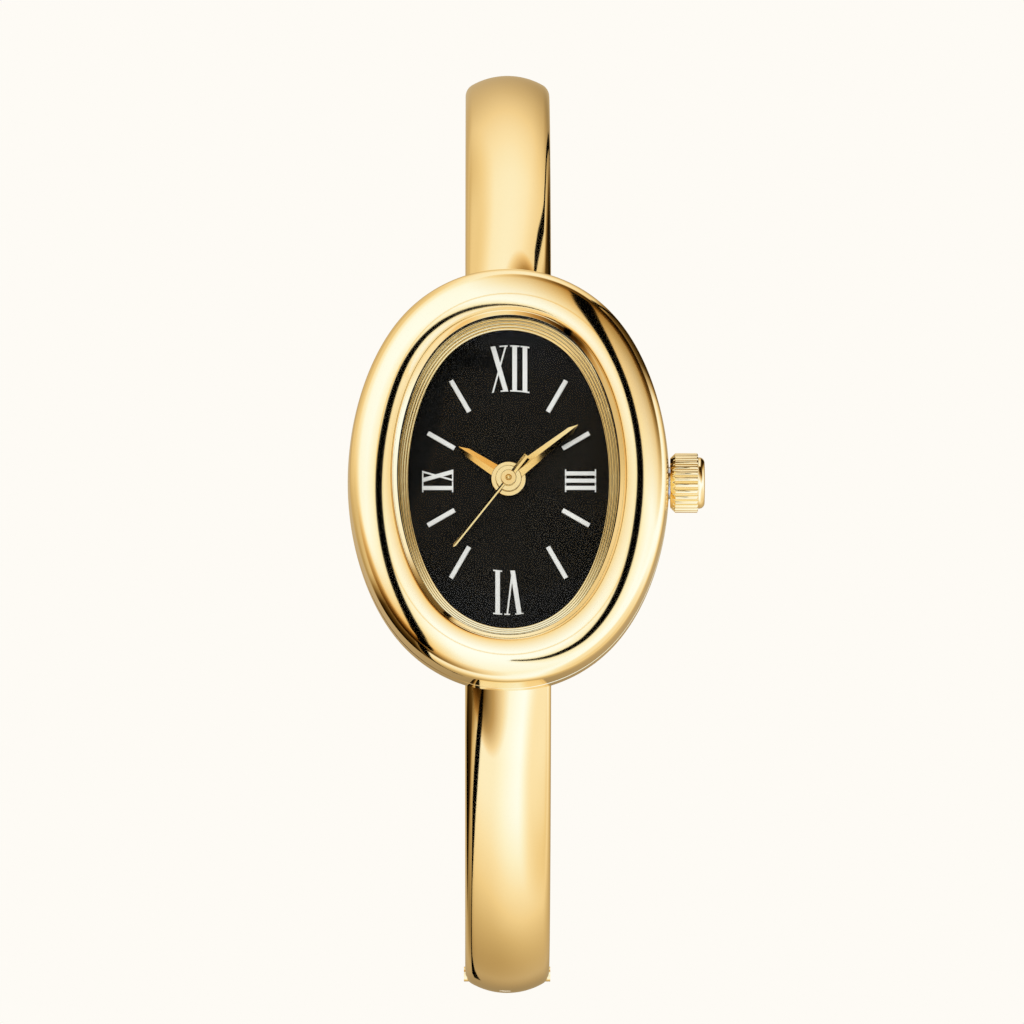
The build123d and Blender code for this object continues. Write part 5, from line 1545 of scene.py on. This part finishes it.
    def knuckle(self, low: float, high: float, rear: bool) -> bpy.types.Object:
        """Knuckle between two X, with the web that joins it to its own half.

        Args:
            low: X of one end.
            high: X of the other.
            rear: whether it belongs to the rear half.

        Returns:
            The object.
        """
        middle, reach = self.hinge_angle, self.knuckle_reach
        band = self.band("knuckle", middle - reach, middle + reach)
        rod = self.rod(self.knuckle_radius, low, high)
        shape = boolean("shape", rod, [(Cut.UNION, self.block(low, high, rear))])
        return boolean("knuckle", band, [(Cut.INTERSECT, shape)], 40)

    def sector(self, half_width: float, start: float, end: float, half: float) -> bpy.types.Object:
        """Piece of the ring round the hinge that the clasp's tongue moves in.

        Args:
            half_width: half of its width along X.
            start: length along the ring where it starts, from the mouth into the lower arm.
            end: length where it ends.
            half: half of its thickness.

        Returns:
            The cutter.
        """
        _, hinge_y, hinge_z = self.at(self.hinge_angle, 0, self.pin_height)
        _, mouth_y, mouth_z = self.at(self.mouth_angle, 0, self.clasp_height)
        radius = hypot(mouth_y - hinge_y, mouth_z - hinge_z)
        first = atan2(mouth_y - hinge_y, hinge_z - mouth_z)
        corners = ((-half_width, radius - half), (half_width, radius - half),
                   (half_width, radius + half), (-half_width, radius + half))
        rows = []
        for step in range(13):
            turn = first - (start + (end - start) * step / 12) / radius
            rows.append([(x, hinge_y + reach * sin(turn), hinge_z - reach * cos(turn))
                         for x, reach in corners])
        return make_object("cutter", *loft(rows, closed=False))

    def build(self) -> None:
        """Makes the three arms."""
        near, far = self.outer_knuckle
        middle, mouth = self.middle_knuckle, self.mouth_angle
        upper = boolean("upper_arm_band", self.band("arm", self.upper_angle, self.hinge_angle), [
            (Cut.DIFFERENCE, self.rod(self.clearance)),
            (Cut.UNION, self.knuckle(near, far, False)),
            (Cut.UNION, self.knuckle(-far, -near, False)),
            (Cut.DIFFERENCE, self.rod(self.pin_hole)),
        ], 40)
        rear = boolean("rear_arm_band", self.band("arm", self.hinge_angle, mouth - self.mouth_gap), [
            (Cut.DIFFERENCE, self.rod(self.clearance)),
            (Cut.UNION, self.knuckle(-middle, middle, True)),
            (Cut.DIFFERENCE, self.rod(self.turning_hole)),
        ], 40)
        lower = boolean("lower_arm_band", self.band("arm", mouth, self.lower_angle),
                        [(Cut.DIFFERENCE, self.sector(*slot)) for slot in self.clasp_slots], 40)
        self.palette.dress(upper, Slot.GOLD, "case", "upper_arm")
        self.palette.dress(rear, Slot.GOLD, "rear_half", "rear_arm")
        self.palette.dress(lower, Slot.GOLD, "case", "lower_arm")


# The frame's own nodes

NODE_SLOTS: dict[Slot, tuple[str, ...]] = {
    Slot.GOLD: ("caseback", "hinge_pin", "clasp_tongue", "clasp_button_right", "clasp_button_left"),
    Slot.GLASS: ("crystal",),
    Slot.RUBBER: ("caseback_gasket", "crown_gasket", "crystal_gasket"),
    Slot.NYLON: ("movement_holder",),
    Slot.BOARD: ("circuit_board",),
    Slot.STEEL: ("case_tube", "arm_screws", "bridge_screws", "quartz_can", "battery", "battery_clip",
                 "stator", "coil_core", "crown_stem", "sliding_pinion", "setting_lever",
                 "clasp_spring_right", "clasp_spring_left"),
    Slot.BRASS: ("main_plate", "train_bridge", "seconds_wheel", "third_wheel", "centre_wheel",
                 "minute_wheel", "hour_wheel", "intermediate_wheel"),
    Slot.COPPER: ("coil_winding",),
    Slot.MAGNET: ("rotor",),
}


def paint_nodes(frame: dict, palette: Palette) -> None:
    """Gives the frame's own nodes their materials.

    Args:
        palette: materials.
    """
    for kind, names in NODE_SLOTS.items():
        for name in names:
            palette.paint(frame["nodes"][name], kind)
            log.info("%s keeps the frame's shape", name)


# Studio

def direction(azimuth: float, elevation: float) -> Vector:
    """Direction from the watch: azimuth 0 is the front, 90 the right, elevation 90 the top."""
    a, e = radians(azimuth), radians(elevation)
    return Vector((sin(a) * cos(e), -cos(a) * cos(e), sin(e)))


@dataclass(frozen=True)
class Lamp:
    """A soft rectangular lamp that faces the watch.

    Attributes:
        name: name of the object.
        azimuth: where it stands.
        elevation: how high it stands.
        width: width in millimetres.
        height: height in millimetres.
        power: power in watts.
        distance: distance in millimetres.
    """

    name: str
    azimuth: float
    elevation: float
    width: float
    height: float
    power: float
    distance: float = 450.0


# Painted reflection: a ribbon is seen only in reflections, where its black core paints a black line on the
# gold and its tinted border paints warm shade beside it.
@dataclass(frozen=True)
class Ribbon:
    """A dark ribbon in front of the watch.

    Attributes:
        name: name of the object.
        rows: X, Z and width of the dark core, from one end to the other.
    """

    name: str
    rows: tuple[Point3, ...]


@dataclass(frozen=True)
class Shade:
    """A round shade in front of the ribbons, dark in the middle and clear at its edge.

    Attributes:
        name: name of the object.
        middle: X and Z of its middle.
        reach: its radius.
        tints: how much light passes, from the middle to the edge.
    """

    name: str
    middle: Point2
    reach: float
    tints: Stops


@dataclass(frozen=True)
class Wall:
    """A curved shade that stands beside the case's edge.

    Attributes:
        name: name of the object.
        start: angle of the case's oval where it starts.
        end: angle where it ends.
    """

    name: str
    start: float
    end: float


class Measure(Enum):
    """What the tent's tone depends on, as a share of the tent's radius."""

    FRONT = "towards the mirrored direction"
    ALONG = "along the slit"
    ACROSS = "across the slit"
    ASIDE = "distance from the slit's plane"


@dataclass(frozen=True)
class Dimming:
    """A darker part of the tent.

    Attributes:
        depth: share of the light that is taken away where it is darkest.
        limits: each measure with its value at full light and at the darkest.
    """

    depth: float
    limits: tuple[tuple[Measure, float, float], ...]


@dataclass
class Studio:
    """Camera, lamps, tent, tinted sheets, floor and world.

    Attributes:
        middle: point that the lamps face and the tent surrounds.
        aim: point that the camera looks at.
        distance: distance of the camera from it.
        azimuth: azimuth of the camera.
        elevation: elevation of the camera.
        lens: focal length in millimetres, for a sensor of 36 mm.
        backdrop: colour behind the watch.
        even_light: strength of the world's even light.
        floor_tone: colour of the floor.
        floor_reach: half of the floor's side.
        lamps: the lamps.
        tent_radius: radius of the tent.
        tent_glow: brightness of the tent.
        tent_tones: tones of the tent by brightness, darkest first.
        dimmings: darker parts of the tent.
        slit_roll: turn of the slit about the mirrored direction, in degrees.
        slit_radius: distance of the slit.
        slit_width: full width of the slit.
        slit_strips: turn from the mirrored direction, shift sideways and share of the width of each row.
        ribbon_depth: depth of the ribbons.
        ribbon_core: first and last place of the dark core on the scale of ribbon_tints.
        ribbon_tints: how much light passes, from one edge of a ribbon to the other.
        ribbons: the ribbons.
        shade_depth: depth of the shades, clear of the ribbons', because sheets in one plane streak.
        shades: the shades.
        wall_gap: distance of the walls from the case's edge.
        wall_front: Y of a wall's front edge.
        wall_back: Y of its back edge.
        wall_tints: how much light passes, from the front edge to the back edge.
        walls: the walls.
        filter_depth: depth of the warm filter.
        filter_inset: inset of its edge from the case's oval.
        filter_tints: how much light passes, from its middle to its edge.
    """

    middle: Point3 = (0.0, -20.0, 0.0)
    aim: Point3 = (0.21, -22.0, -1.75)
    distance: float = 1000.0
    azimuth: float = -0.2
    elevation: float = -8.0
    lens: float = 595.0
    backdrop: str = "#FEFBF5"
    even_light: float = 0.6
    floor_tone: str = "#F4F2EC"
    floor_reach: float = 2000.0
    lamps: tuple[Lamp, ...] = (
        Lamp("key", -42, 30, 520, 420, 1.5),
        Lamp("fill", 40, -12, 420, 520, 1.4),
    )
    tent_radius: float = 620.0
    tent_glow: float = 2.1
    # Painted reflection tones: the bluish top paints the gold's cream highlights and the browns paint its
    # shade.
    tent_tones: Stops = (
        (0.0, (0.0, 0.0, 0.0)), (0.12, (0.05, 0.03, 0.006)), (0.3, (0.24, 0.18, 0.1)),
        (0.42, (0.34, 0.275, 0.18)), (0.55, (0.45, 0.39, 0.3)), (0.7, (0.495, 0.48, 0.47)),
        (0.85, (0.505, 0.57, 0.72)), (1.0, (0.51, 0.63, 0.98)))
    dimmings: tuple[Dimming, ...] = (
        Dimming(0.3, ((Measure.ASIDE, 0.8, 0.25), (Measure.ALONG, 0.05, 0.68))),
        Dimming(0.2, ((Measure.ASIDE, 0.4, 0.1), (Measure.ALONG, 0.3, 0.7))),
        Dimming(0.22, ((Measure.ASIDE, 0.9, 0.3), (Measure.ALONG, -0.05, -0.6))),
        Dimming(0.42, ((Measure.ACROSS, -0.1, 0.12), (Measure.ALONG, -0.3, -0.7))),
        Dimming(0.3, ((Measure.ASIDE, 0.8, 0.96),)),
        Dimming(0.24, ((Measure.ACROSS, 0.3, 0.85),)),
        Dimming(0.64, ((Measure.FRONT, 0.15, -0.95),)),
        Dimming(0.45, ((Measure.FRONT, -0.9, -1.0),)),
    )
    slit_roll: float = 48.0
    slit_radius: float = 420.0
    slit_width: float = 34.0
    slit_strips: tuple[tuple[Point3, ...], ...] = (
        ((66, 40, 0.5), (72, 48, 1.0), (80, 46, 1.1), (90, 35, 1.05), (100, 32, 0.95), (110, 26, 0.8),
         (121, 22, 0.65), (133, 12, 0.55), (145, 12, 0.45), (158, 12, 0.4)),
        ((-64, 0, 0.5), (-72, 0, 1.25), (-90, 0, 1.35), (-105, 0, 1.2), (-118, 2, 1.0),
         (-130, 5, 0.8), (-150, 5, 0.7), (-168, 4, 0.5)),
    )
    ribbon_depth: float = 37.76
    ribbon_core: Point2 = (0.39, 0.61)
    ribbon_tints: Stops = (
        (0.0, (1.0, 1.0, 1.0)), (0.28, (1.0, 0.9, 0.7)), (0.36, (0.96, 0.78, 0.5)), (0.39, (0.0, 0.0, 0.0)),
        (0.61, (0.0, 0.0, 0.0)), (0.64, (0.96, 0.78, 0.5)), (0.72, (1.0, 0.9, 0.7)), (1.0, (1.0, 1.0, 1.0)))
    ribbons: tuple[Ribbon, ...] = (
        Ribbon("ribbon_left", (
            (0.6, 7.1, 0.3), (-1.2, 8.7, 0.7), (-3.2, 8.8, 1.3), (-4.8, 7.4, 2.0), (-5.6, 4.2, 2.3),
            (-6.9, 0.2, 2.2), (-8.05, -4.6, 2.1), (-8.5, -9.0, 2.0), (-9.0, -11.6, 2.2),
            (-11.0, -15.5, 2.6), (-15.5, -21.0, 3.2))),
        Ribbon("ribbon_right", (
            (0.2, -11.1, 0.3), (2.0, -11.65, 0.6), (4.1, -11.65, 1.1), (6.3, -10.4, 1.5), (7.6, -7.5, 1.9),
            (7.85, -4.3, 2.1), (7.4, -0.5, 2.3), (7.25, 3.0, 2.2), (6.75, 6.6, 2.1), (6.35, 9.2, 2.1),
            (6.6, 12.4, 2.3), (7.7, 16.8, 2.6), (10.4, 23.0, 3.2))),
    )
    shade_depth: float = 38.4
    # Painted shade: the shades and walls are seen only in reflections, where they paint brown shade on the
    # gold's outer slopes at the upper right and the lower left.
    shades: tuple[Shade, ...] = (
        Shade("shade_high", (27.0, 29.0), 33.0, (
            (0.0, (0.01, 0.006, 0.001)), (0.3, (0.03, 0.018, 0.004)), (0.55, (0.19, 0.11, 0.035)),
            (0.7, (0.5, 0.34, 0.16)), (0.82, (0.82, 0.63, 0.4)), (0.9, (0.95, 0.81, 0.6)),
            (1.0, (1.0, 1.0, 1.0)))),
        Shade("shade_low", (-27.0, -28.0), 28.0, (
            (0.0, (0.03, 0.018, 0.004)), (0.3, (0.14, 0.08, 0.025)), (0.6, (0.52, 0.36, 0.18)),
            (0.85, (0.93, 0.78, 0.58)), (1.0, (1.0, 1.0, 1.0)))),
    )
    wall_gap: float = 26.0
    wall_front: float = -64.0
    wall_back: float = 22.0
    wall_tints: Stops = (
        (0.0, (1.0, 1.0, 1.0)), (0.18, (0.6, 0.5, 0.35)), (0.45, (0.12, 0.08, 0.03)),
        (0.8, (0.0, 0.0, 0.0)))
    walls: tuple[Wall, ...] = (Wall("wall_high", 20.0, 56.0), Wall("wall_low", 196.0, 232.0))
    filter_depth: float = 29.5
    filter_inset: float = 2.6
    filter_tints: Stops = ((0.0, (0.94, 0.75, 0.48)), (0.8, (0.94, 0.75, 0.48)), (1.0, (1.0, 1.0, 1.0)))

    def camera(self) -> None:
        """Camera at the photograph's angle."""
        data = bpy.data.cameras.new("view")
        data.sensor_width = 36.0
        data.lens = self.lens
        data.clip_start = 0.01
        data.clip_end = 20.0
        made = bpy.data.objects.new("view", data)
        toward = direction(self.azimuth, self.elevation)
        made.location = (Vector(self.aim) + toward * self.distance) * MM
        made.rotation_euler = toward.to_track_quat("Z", "Y").to_euler()
        bpy.context.scene.collection.objects.link(made)
        bpy.context.scene.camera = made

    def lamp(self, lamp: Lamp) -> None:
        """Makes a lamp that reflections don't show.

        Args:
            lamp: its place, size and power.
        """
        data = bpy.data.lights.new(lamp.name, "AREA")
        data.shape = "RECTANGLE"
        data.size, data.size_y = lamp.width * MM, lamp.height * MM
        data.energy = lamp.power
        made = bpy.data.objects.new(lamp.name, data)
        toward = direction(lamp.azimuth, lamp.elevation)
        made.location = (Vector(self.middle) + toward * lamp.distance) * MM
        made.rotation_euler = toward.to_track_quat("Z", "Y").to_euler()
        bpy.context.scene.collection.objects.link(made)
        made.visible_glossy = False

    def sheet(self, name: str, points: Iterable[Point3], faces: list) -> bpy.types.Object:
        """Links a plain mesh.

        Args:
            name: name of the object.
            points: its points in millimetres.
            faces: lists of point numbers.

        Returns:
            The object.
        """
        mesh = bpy.data.meshes.new(name)
        mesh.from_pydata([tuple(Vector(point) * MM) for point in points], [], faces)
        made = bpy.data.objects.new(name, mesh)
        bpy.context.scene.collection.objects.link(made)
        return made

    def only_reflected(self, made: bpy.types.Object, look: bpy.types.Material) -> None:
        """Gives a sheet its look and hides it from all but reflections.

        Args:
            made: the sheet.
            look: its material.
        """
        made.data.materials.append(look)
        made.visible_camera = False
        made.visible_diffuse = False
        made.visible_shadow = False
        made.visible_transmission = False
        made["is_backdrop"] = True

    def mirror_axes(self) -> tuple[Vector, Vector, Vector]:
        """Direction that the flat front of the watch mirrors to the camera, and two square to it.

        Returns:
            The mirrored direction, the direction along the slit, and the one across it.
        """
        toward = direction(-self.azimuth, -self.elevation)
        side = Vector((0, 0, 1)).cross(toward).normalized()
        up = toward.cross(side).normalized()
        along = side * cos(radians(self.slit_roll)) + up * sin(radians(self.slit_roll))
        across = up * cos(radians(self.slit_roll)) - side * sin(radians(self.slit_roll))
        return toward, along, across

    def slit(self) -> None:
        """The dark slit round the light tent, as two strips that stay clear of the mirrored direction."""
        toward, along, across = self.mirror_axes()
        middle, half, steps = Vector(self.middle), self.slit_width / 2, 12
        points, faces = [], []
        for strip in self.slit_strips:
            for low, high in zip(strip, strip[1:]):
                for step in range(steps + 1):
                    turn, shift, share = (start + (end - start) * step / steps
                                          for start, end in zip(low, high))
                    spoke = toward * cos(radians(turn)) + along * sin(radians(turn))
                    centre = middle + spoke * self.slit_radius
                    points += [centre + across * (shift + sign * share * half) for sign in (-1, 1)]
                    if step:
                        last = len(points) - 4
                        faces.append((last, last + 1, last + 3, last + 2))
        # Painted reflection: a black sheet that only reflections see, which paints the black lines on the
        # gold.
        shader = Shader("painted_black_reflection")
        black = shader.node("ShaderNodeEmission", Color=(0.0, 0.0, 0.0, 1.0), Strength=1.0)
        self.only_reflected(self.sheet("slit", points, faces), shader.finish(black.outputs["Emission"]))

    def painted_reflection_sheet(self, name: str, rows: list[list[Point3]], values: list[list[float]], tints: Stops) -> None:
        """Tinted sheet close to the watch, which only reflections show.

        Args:
            name: name of the object.
            rows: the sheet's points, row by row.
            values: for each point, its place on the scale of tints.
            tints: how much light passes, along the scale.
        """
        count = len(rows[0])
        faces = []
        for row in range(len(rows) - 1):
            for index in range(count - 1):
                low = row * count + index
                faces.append((low, low + 1, low + count + 1, low + count))
        made = self.sheet(name, [point for row in rows for point in row], faces)
        place = made.data.attributes.new("place", "FLOAT", "POINT")
        place.data.foreach_set("value", [value for row in values for value in row])
        # Painted shade in reflections: a clear sheet that only reflections see, whose tints darken and warm
        # what the gold mirrors.
        shader = Shader(name + "_painted_reflection_tint")
        scale = shader.node("ShaderNodeAttribute", attribute_name="place")
        clear = shader.node("ShaderNodeBsdfTransparent")
        shader.link(shader.ramp(scale.outputs["Fac"], tints), clear.inputs["Color"])
        self.only_reflected(made, shader.finish(clear.outputs["BSDF"]))

    def ribbon(self, ribbon: Ribbon) -> None:
        """Makes a ribbon with a tinted border on both sides of its dark core.

        Its line passes through the rows as a cubic whose slopes follow the neighbouring rows.

        Args:
            ribbon: its name and rows.
        """
        steps, rows = 10, ribbon.rows
        padded = (rows[0],) + rows + (rows[-1],)
        line = []
        for before, start, end, after in zip(padded, padded[1:], padded[2:], padded[3:]):
            for step in range(steps):
                t = step / steps
                line.append([0.5 * (2 * s1 + (s2 - s0) * t + (2 * s0 - 5 * s1 + 4 * s2 - s3) * t**2
                                    + (3 * s1 - s0 - 3 * s2 + s3) * t**3)
                             for s0, s1, s2, s3 in zip(before, start, end, after)])
        line.append(list(rows[-1]))
        points = []
        for index, (x, z, width) in enumerate(line):
            low, high = line[max(index - 1, 0)], line[min(index + 1, len(line) - 1)]
            run = Vector((high[0] - low[0], high[1] - low[1])).normalized()
            reach = width / (self.ribbon_core[1] - self.ribbon_core[0]) / 2
            points.append([(x - run.y * sign * reach, -self.ribbon_depth, z + run.x * sign * reach)
                           for sign in (-1, 1)])
        self.painted_reflection_sheet(ribbon.name, points, [[0.0, 1.0]] * len(points), self.ribbon_tints)

    def shade(self, shade: Shade) -> None:
        """Makes a round shade.

        Args:
            shade: its place, size and tints.
        """
        rings, count = 12, 48
        points, values = [], []
        for ring in range(rings + 1):
            share = ring / rings
            circle = [polar(shade.middle, shade.reach * share, 360 * turn / count)
                      for turn in range(count + 1)]
            points.append([(x, -self.shade_depth, z) for x, z in circle])
            values.append([share] * (count + 1))
        self.painted_reflection_sheet(shade.name, points, values, shade.tints)

    def wall(self, wall: Wall) -> None:
        """Makes a wall, clear at its front and at both ends.

        Args:
            wall: its name and angles.
        """
        columns, rows = 40, 12
        points, values = [], []
        for column in range(columns + 1):
            share = column / columns
            x, z = CASE_OVAL.point(wall.start + (wall.end - wall.start) * share, self.wall_gap)
            fade = min(1.0, 4 * share, 4 * (1 - share))
            points.append([(x, self.wall_front + (self.wall_back - self.wall_front) * row / rows, z)
                           for row in range(rows + 1)])
            values.append([fade * row / rows for row in range(rows + 1)])
        self.painted_reflection_sheet(wall.name, points, values, self.wall_tints)

    def warm_filter(self) -> None:
        """Warm oval filter in front of the opening, which the hands and the flange ring mirror."""
        # Painted reflection: this sheet is seen only in reflections, where it paints a warm golden tint
        # into the hands and the flange ring.
        rings, count = 8, 72
        points, values = [], []
        for ring in range(rings + 1):
            share = ring / rings
            row = [CASE_OVAL.point(360 * turn / count, -self.filter_inset) for turn in range(count + 1)]
            points.append([(x * share, -self.filter_depth, z * share) for x, z in row])
            values.append([share] * (count + 1))
        self.painted_reflection_sheet("warm_filter", points, values, self.filter_tints)

    def floor(self, level: float) -> None:
        """Pale floor that is seen only from above, because the camera looks up from under its height.

        Args:
            level: height of the floor in metres.
        """
        reach = self.floor_reach
        corners = [(-reach, -reach, 0), (reach, -reach, 0), (reach, reach, 0), (-reach, reach, 0)]
        made = self.sheet("floor", corners, [(0, 1, 2, 3)])
        made.location = (0, 0, level)
        # Uncoated paper: even and pale from above, and clear from below so that the camera sees past it.
        shader = Shader("paper_uncoated")
        top = shader.node("ShaderNodeBsdfDiffuse", Color=linear(self.floor_tone), Roughness=0.5)
        clear = shader.node("ShaderNodeBsdfTransparent")
        sides = shader.node("ShaderNodeNewGeometry")
        mix = shader.node("ShaderNodeMixShader")
        shader.link(sides.outputs["Backfacing"], mix.inputs["Fac"])
        shader.link(top.outputs["BSDF"], mix.inputs[1])
        shader.link(clear.outputs["BSDF"], mix.inputs[2])
        made.data.materials.append(shader.finish(mix.outputs["Shader"]))
        made.visible_glossy = False
        made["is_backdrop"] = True

    def tent(self) -> None:
        """Inside of the light tent: bright below on the right, darker along the slit and behind."""
        basis = self.mirror_axes()[0].to_track_quat("Z", "Y").to_matrix()
        rows, count, middle = 60, 96, Vector(self.middle)
        points, faces = [], []
        for row in range(rows + 1):
            fall = radians(1 + 178 * row / rows)
            for index in range(count):
                turn = 2 * pi * index / count
                local = Vector((sin(fall) * cos(turn), sin(fall) * sin(turn), cos(fall)))
                points.append(basis @ local * self.tent_radius + middle)
        for row in range(rows):
            for index in range(count):
                after = (index + 1) % count
                faces.append((row * count + index, row * count + after,
                              (row + 1) * count + after, (row + 1) * count + index))
        made = self.sheet("tent", points, faces)
        # Painted reflection: a glowing sheet that only reflections see, whose tones paint the gold's
        # highlights and its shade.
        shader = Shader("painted_reflection_glow")
        glow = shader.node("ShaderNodeEmission", Strength=self.tent_glow)
        shader.link(shader.ramp(self.tent_level(shader), self.tent_tones), glow.inputs["Color"])
        self.only_reflected(made, shader.finish(glow.outputs["Emission"]))

    def tent_level(self, shader: Shader) -> bpy.types.NodeSocket:
        """Brightness of the tent, as the product of what each dimming leaves.

        Args:
            shader: the tent's shader.

        Returns:
            The factor socket.
        """
        place = shader.node("ShaderNodeTexCoord")
        measures = {}
        for measure, axis in zip((Measure.FRONT, Measure.ALONG, Measure.ACROSS), self.mirror_axes()):
            part = shader.node("ShaderNodeVectorMath", operation="DOT_PRODUCT")
            part.inputs[1].default_value = tuple(axis / (self.tent_radius * MM))
            shader.link(place.outputs["Object"], part.inputs[0])
            measures[measure] = part.outputs["Value"]
        measures[Measure.ASIDE] = shader.math("ABSOLUTE", measures[Measure.ACROSS])
        level = None
        for dimming in self.dimmings:
            hidden = None
            for measure, none, full in dimming.limits:
                part = shader.smooth(measures[measure], none, full)
                hidden = part if hidden is None else shader.math("MULTIPLY", hidden, part)
            left = shader.spread(hidden, 1.0, 1.0 - dimming.depth)
            level = left if level is None else shader.math("MULTIPLY", level, left)
        return level

    def world(self) -> None:
        """Soft even light, and the pale backdrop that camera, metal and glass show."""
        world = bpy.data.worlds.new("studio")
        world.use_nodes = True
        bpy.context.scene.world = world
        nodes = Nodes(world.node_tree)
        output = nodes.node("ShaderNodeOutputWorld")
        light = nodes.node("ShaderNodeBackground", Color=(1.0, 1.0, 1.0, 1.0), Strength=self.even_light)
        seen = nodes.node("ShaderNodeBackground", Color=linear(self.backdrop), Strength=1.0)
        path = nodes.node("ShaderNodeLightPath")
        rays = [path.outputs[name] for name in ("Is Camera Ray", "Is Glossy Ray", "Is Transmission Ray")]
        any_seen = nodes.math("MAXIMUM", nodes.math("MAXIMUM", rays[0], rays[1]), rays[2])
        mix = nodes.node("ShaderNodeMixShader")
        nodes.link(any_seen, mix.inputs["Fac"])
        nodes.link(light.outputs["Background"], mix.inputs[1])
        nodes.link(seen.outputs["Background"], mix.inputs[2])
        nodes.link(mix.outputs["Shader"], output.inputs["Surface"])

    def build(self, floor_level: float) -> None:
        """Sets up the whole studio.

        Args:
            floor_level: height of the floor in metres.
        """
        bpy.context.scene.view_settings.view_transform = "Standard"
        self.camera()
        self.world()
        self.floor(floor_level)
        self.slit()
        for ribbon in self.ribbons:
            self.ribbon(ribbon)
        for shade in self.shades:
            self.shade(shade)
        for wall in self.walls:
            self.wall(wall)
        self.warm_filter()
        self.tent()
        for lamp in self.lamps:
            self.lamp(lamp)
        log.info("the studio is built")


HANDS = (
    Hand("hour_hand_blade", "hours", "hour_hand", 302.9, 0.14,
         [(0.41, 0.0), (0.25, 2.92), (0.004, 3.52)], 1.03),
    Hand("minute_hand_blade", "minutes", "minute_hand", 52.2, 0.44,
         [(0.43, 0.0), (0.22, 4.64), (0.004, 5.19)], 0.77),
    Hand("seconds_hand_blade", "seconds", "seconds_hand", 218.4, 0.78,
         [(0.09, 0.0), (0.09, 5.1), (0.03, 5.25)], 0.465, tail=(0.15, 1.71), thickness=0.08,
         foot=-0.08, pivot=0.1),
)


def main() -> None:
    """Builds the dressed watch and its studio."""
    logging.basicConfig(level=logging.INFO)
    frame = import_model()
    cad_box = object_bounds()
    palette = Palette()
    paint_nodes(frame, palette)
    Case(palette).build()
    DialWork(palette).build()
    for hand in HANDS:
        hand.build(palette)
    Crown(palette).build()
    Bangle(palette).build()
    Studio().build(cad_box[0][2])
    log.info("pieces are built")


if __name__ == "__main__":
    main()
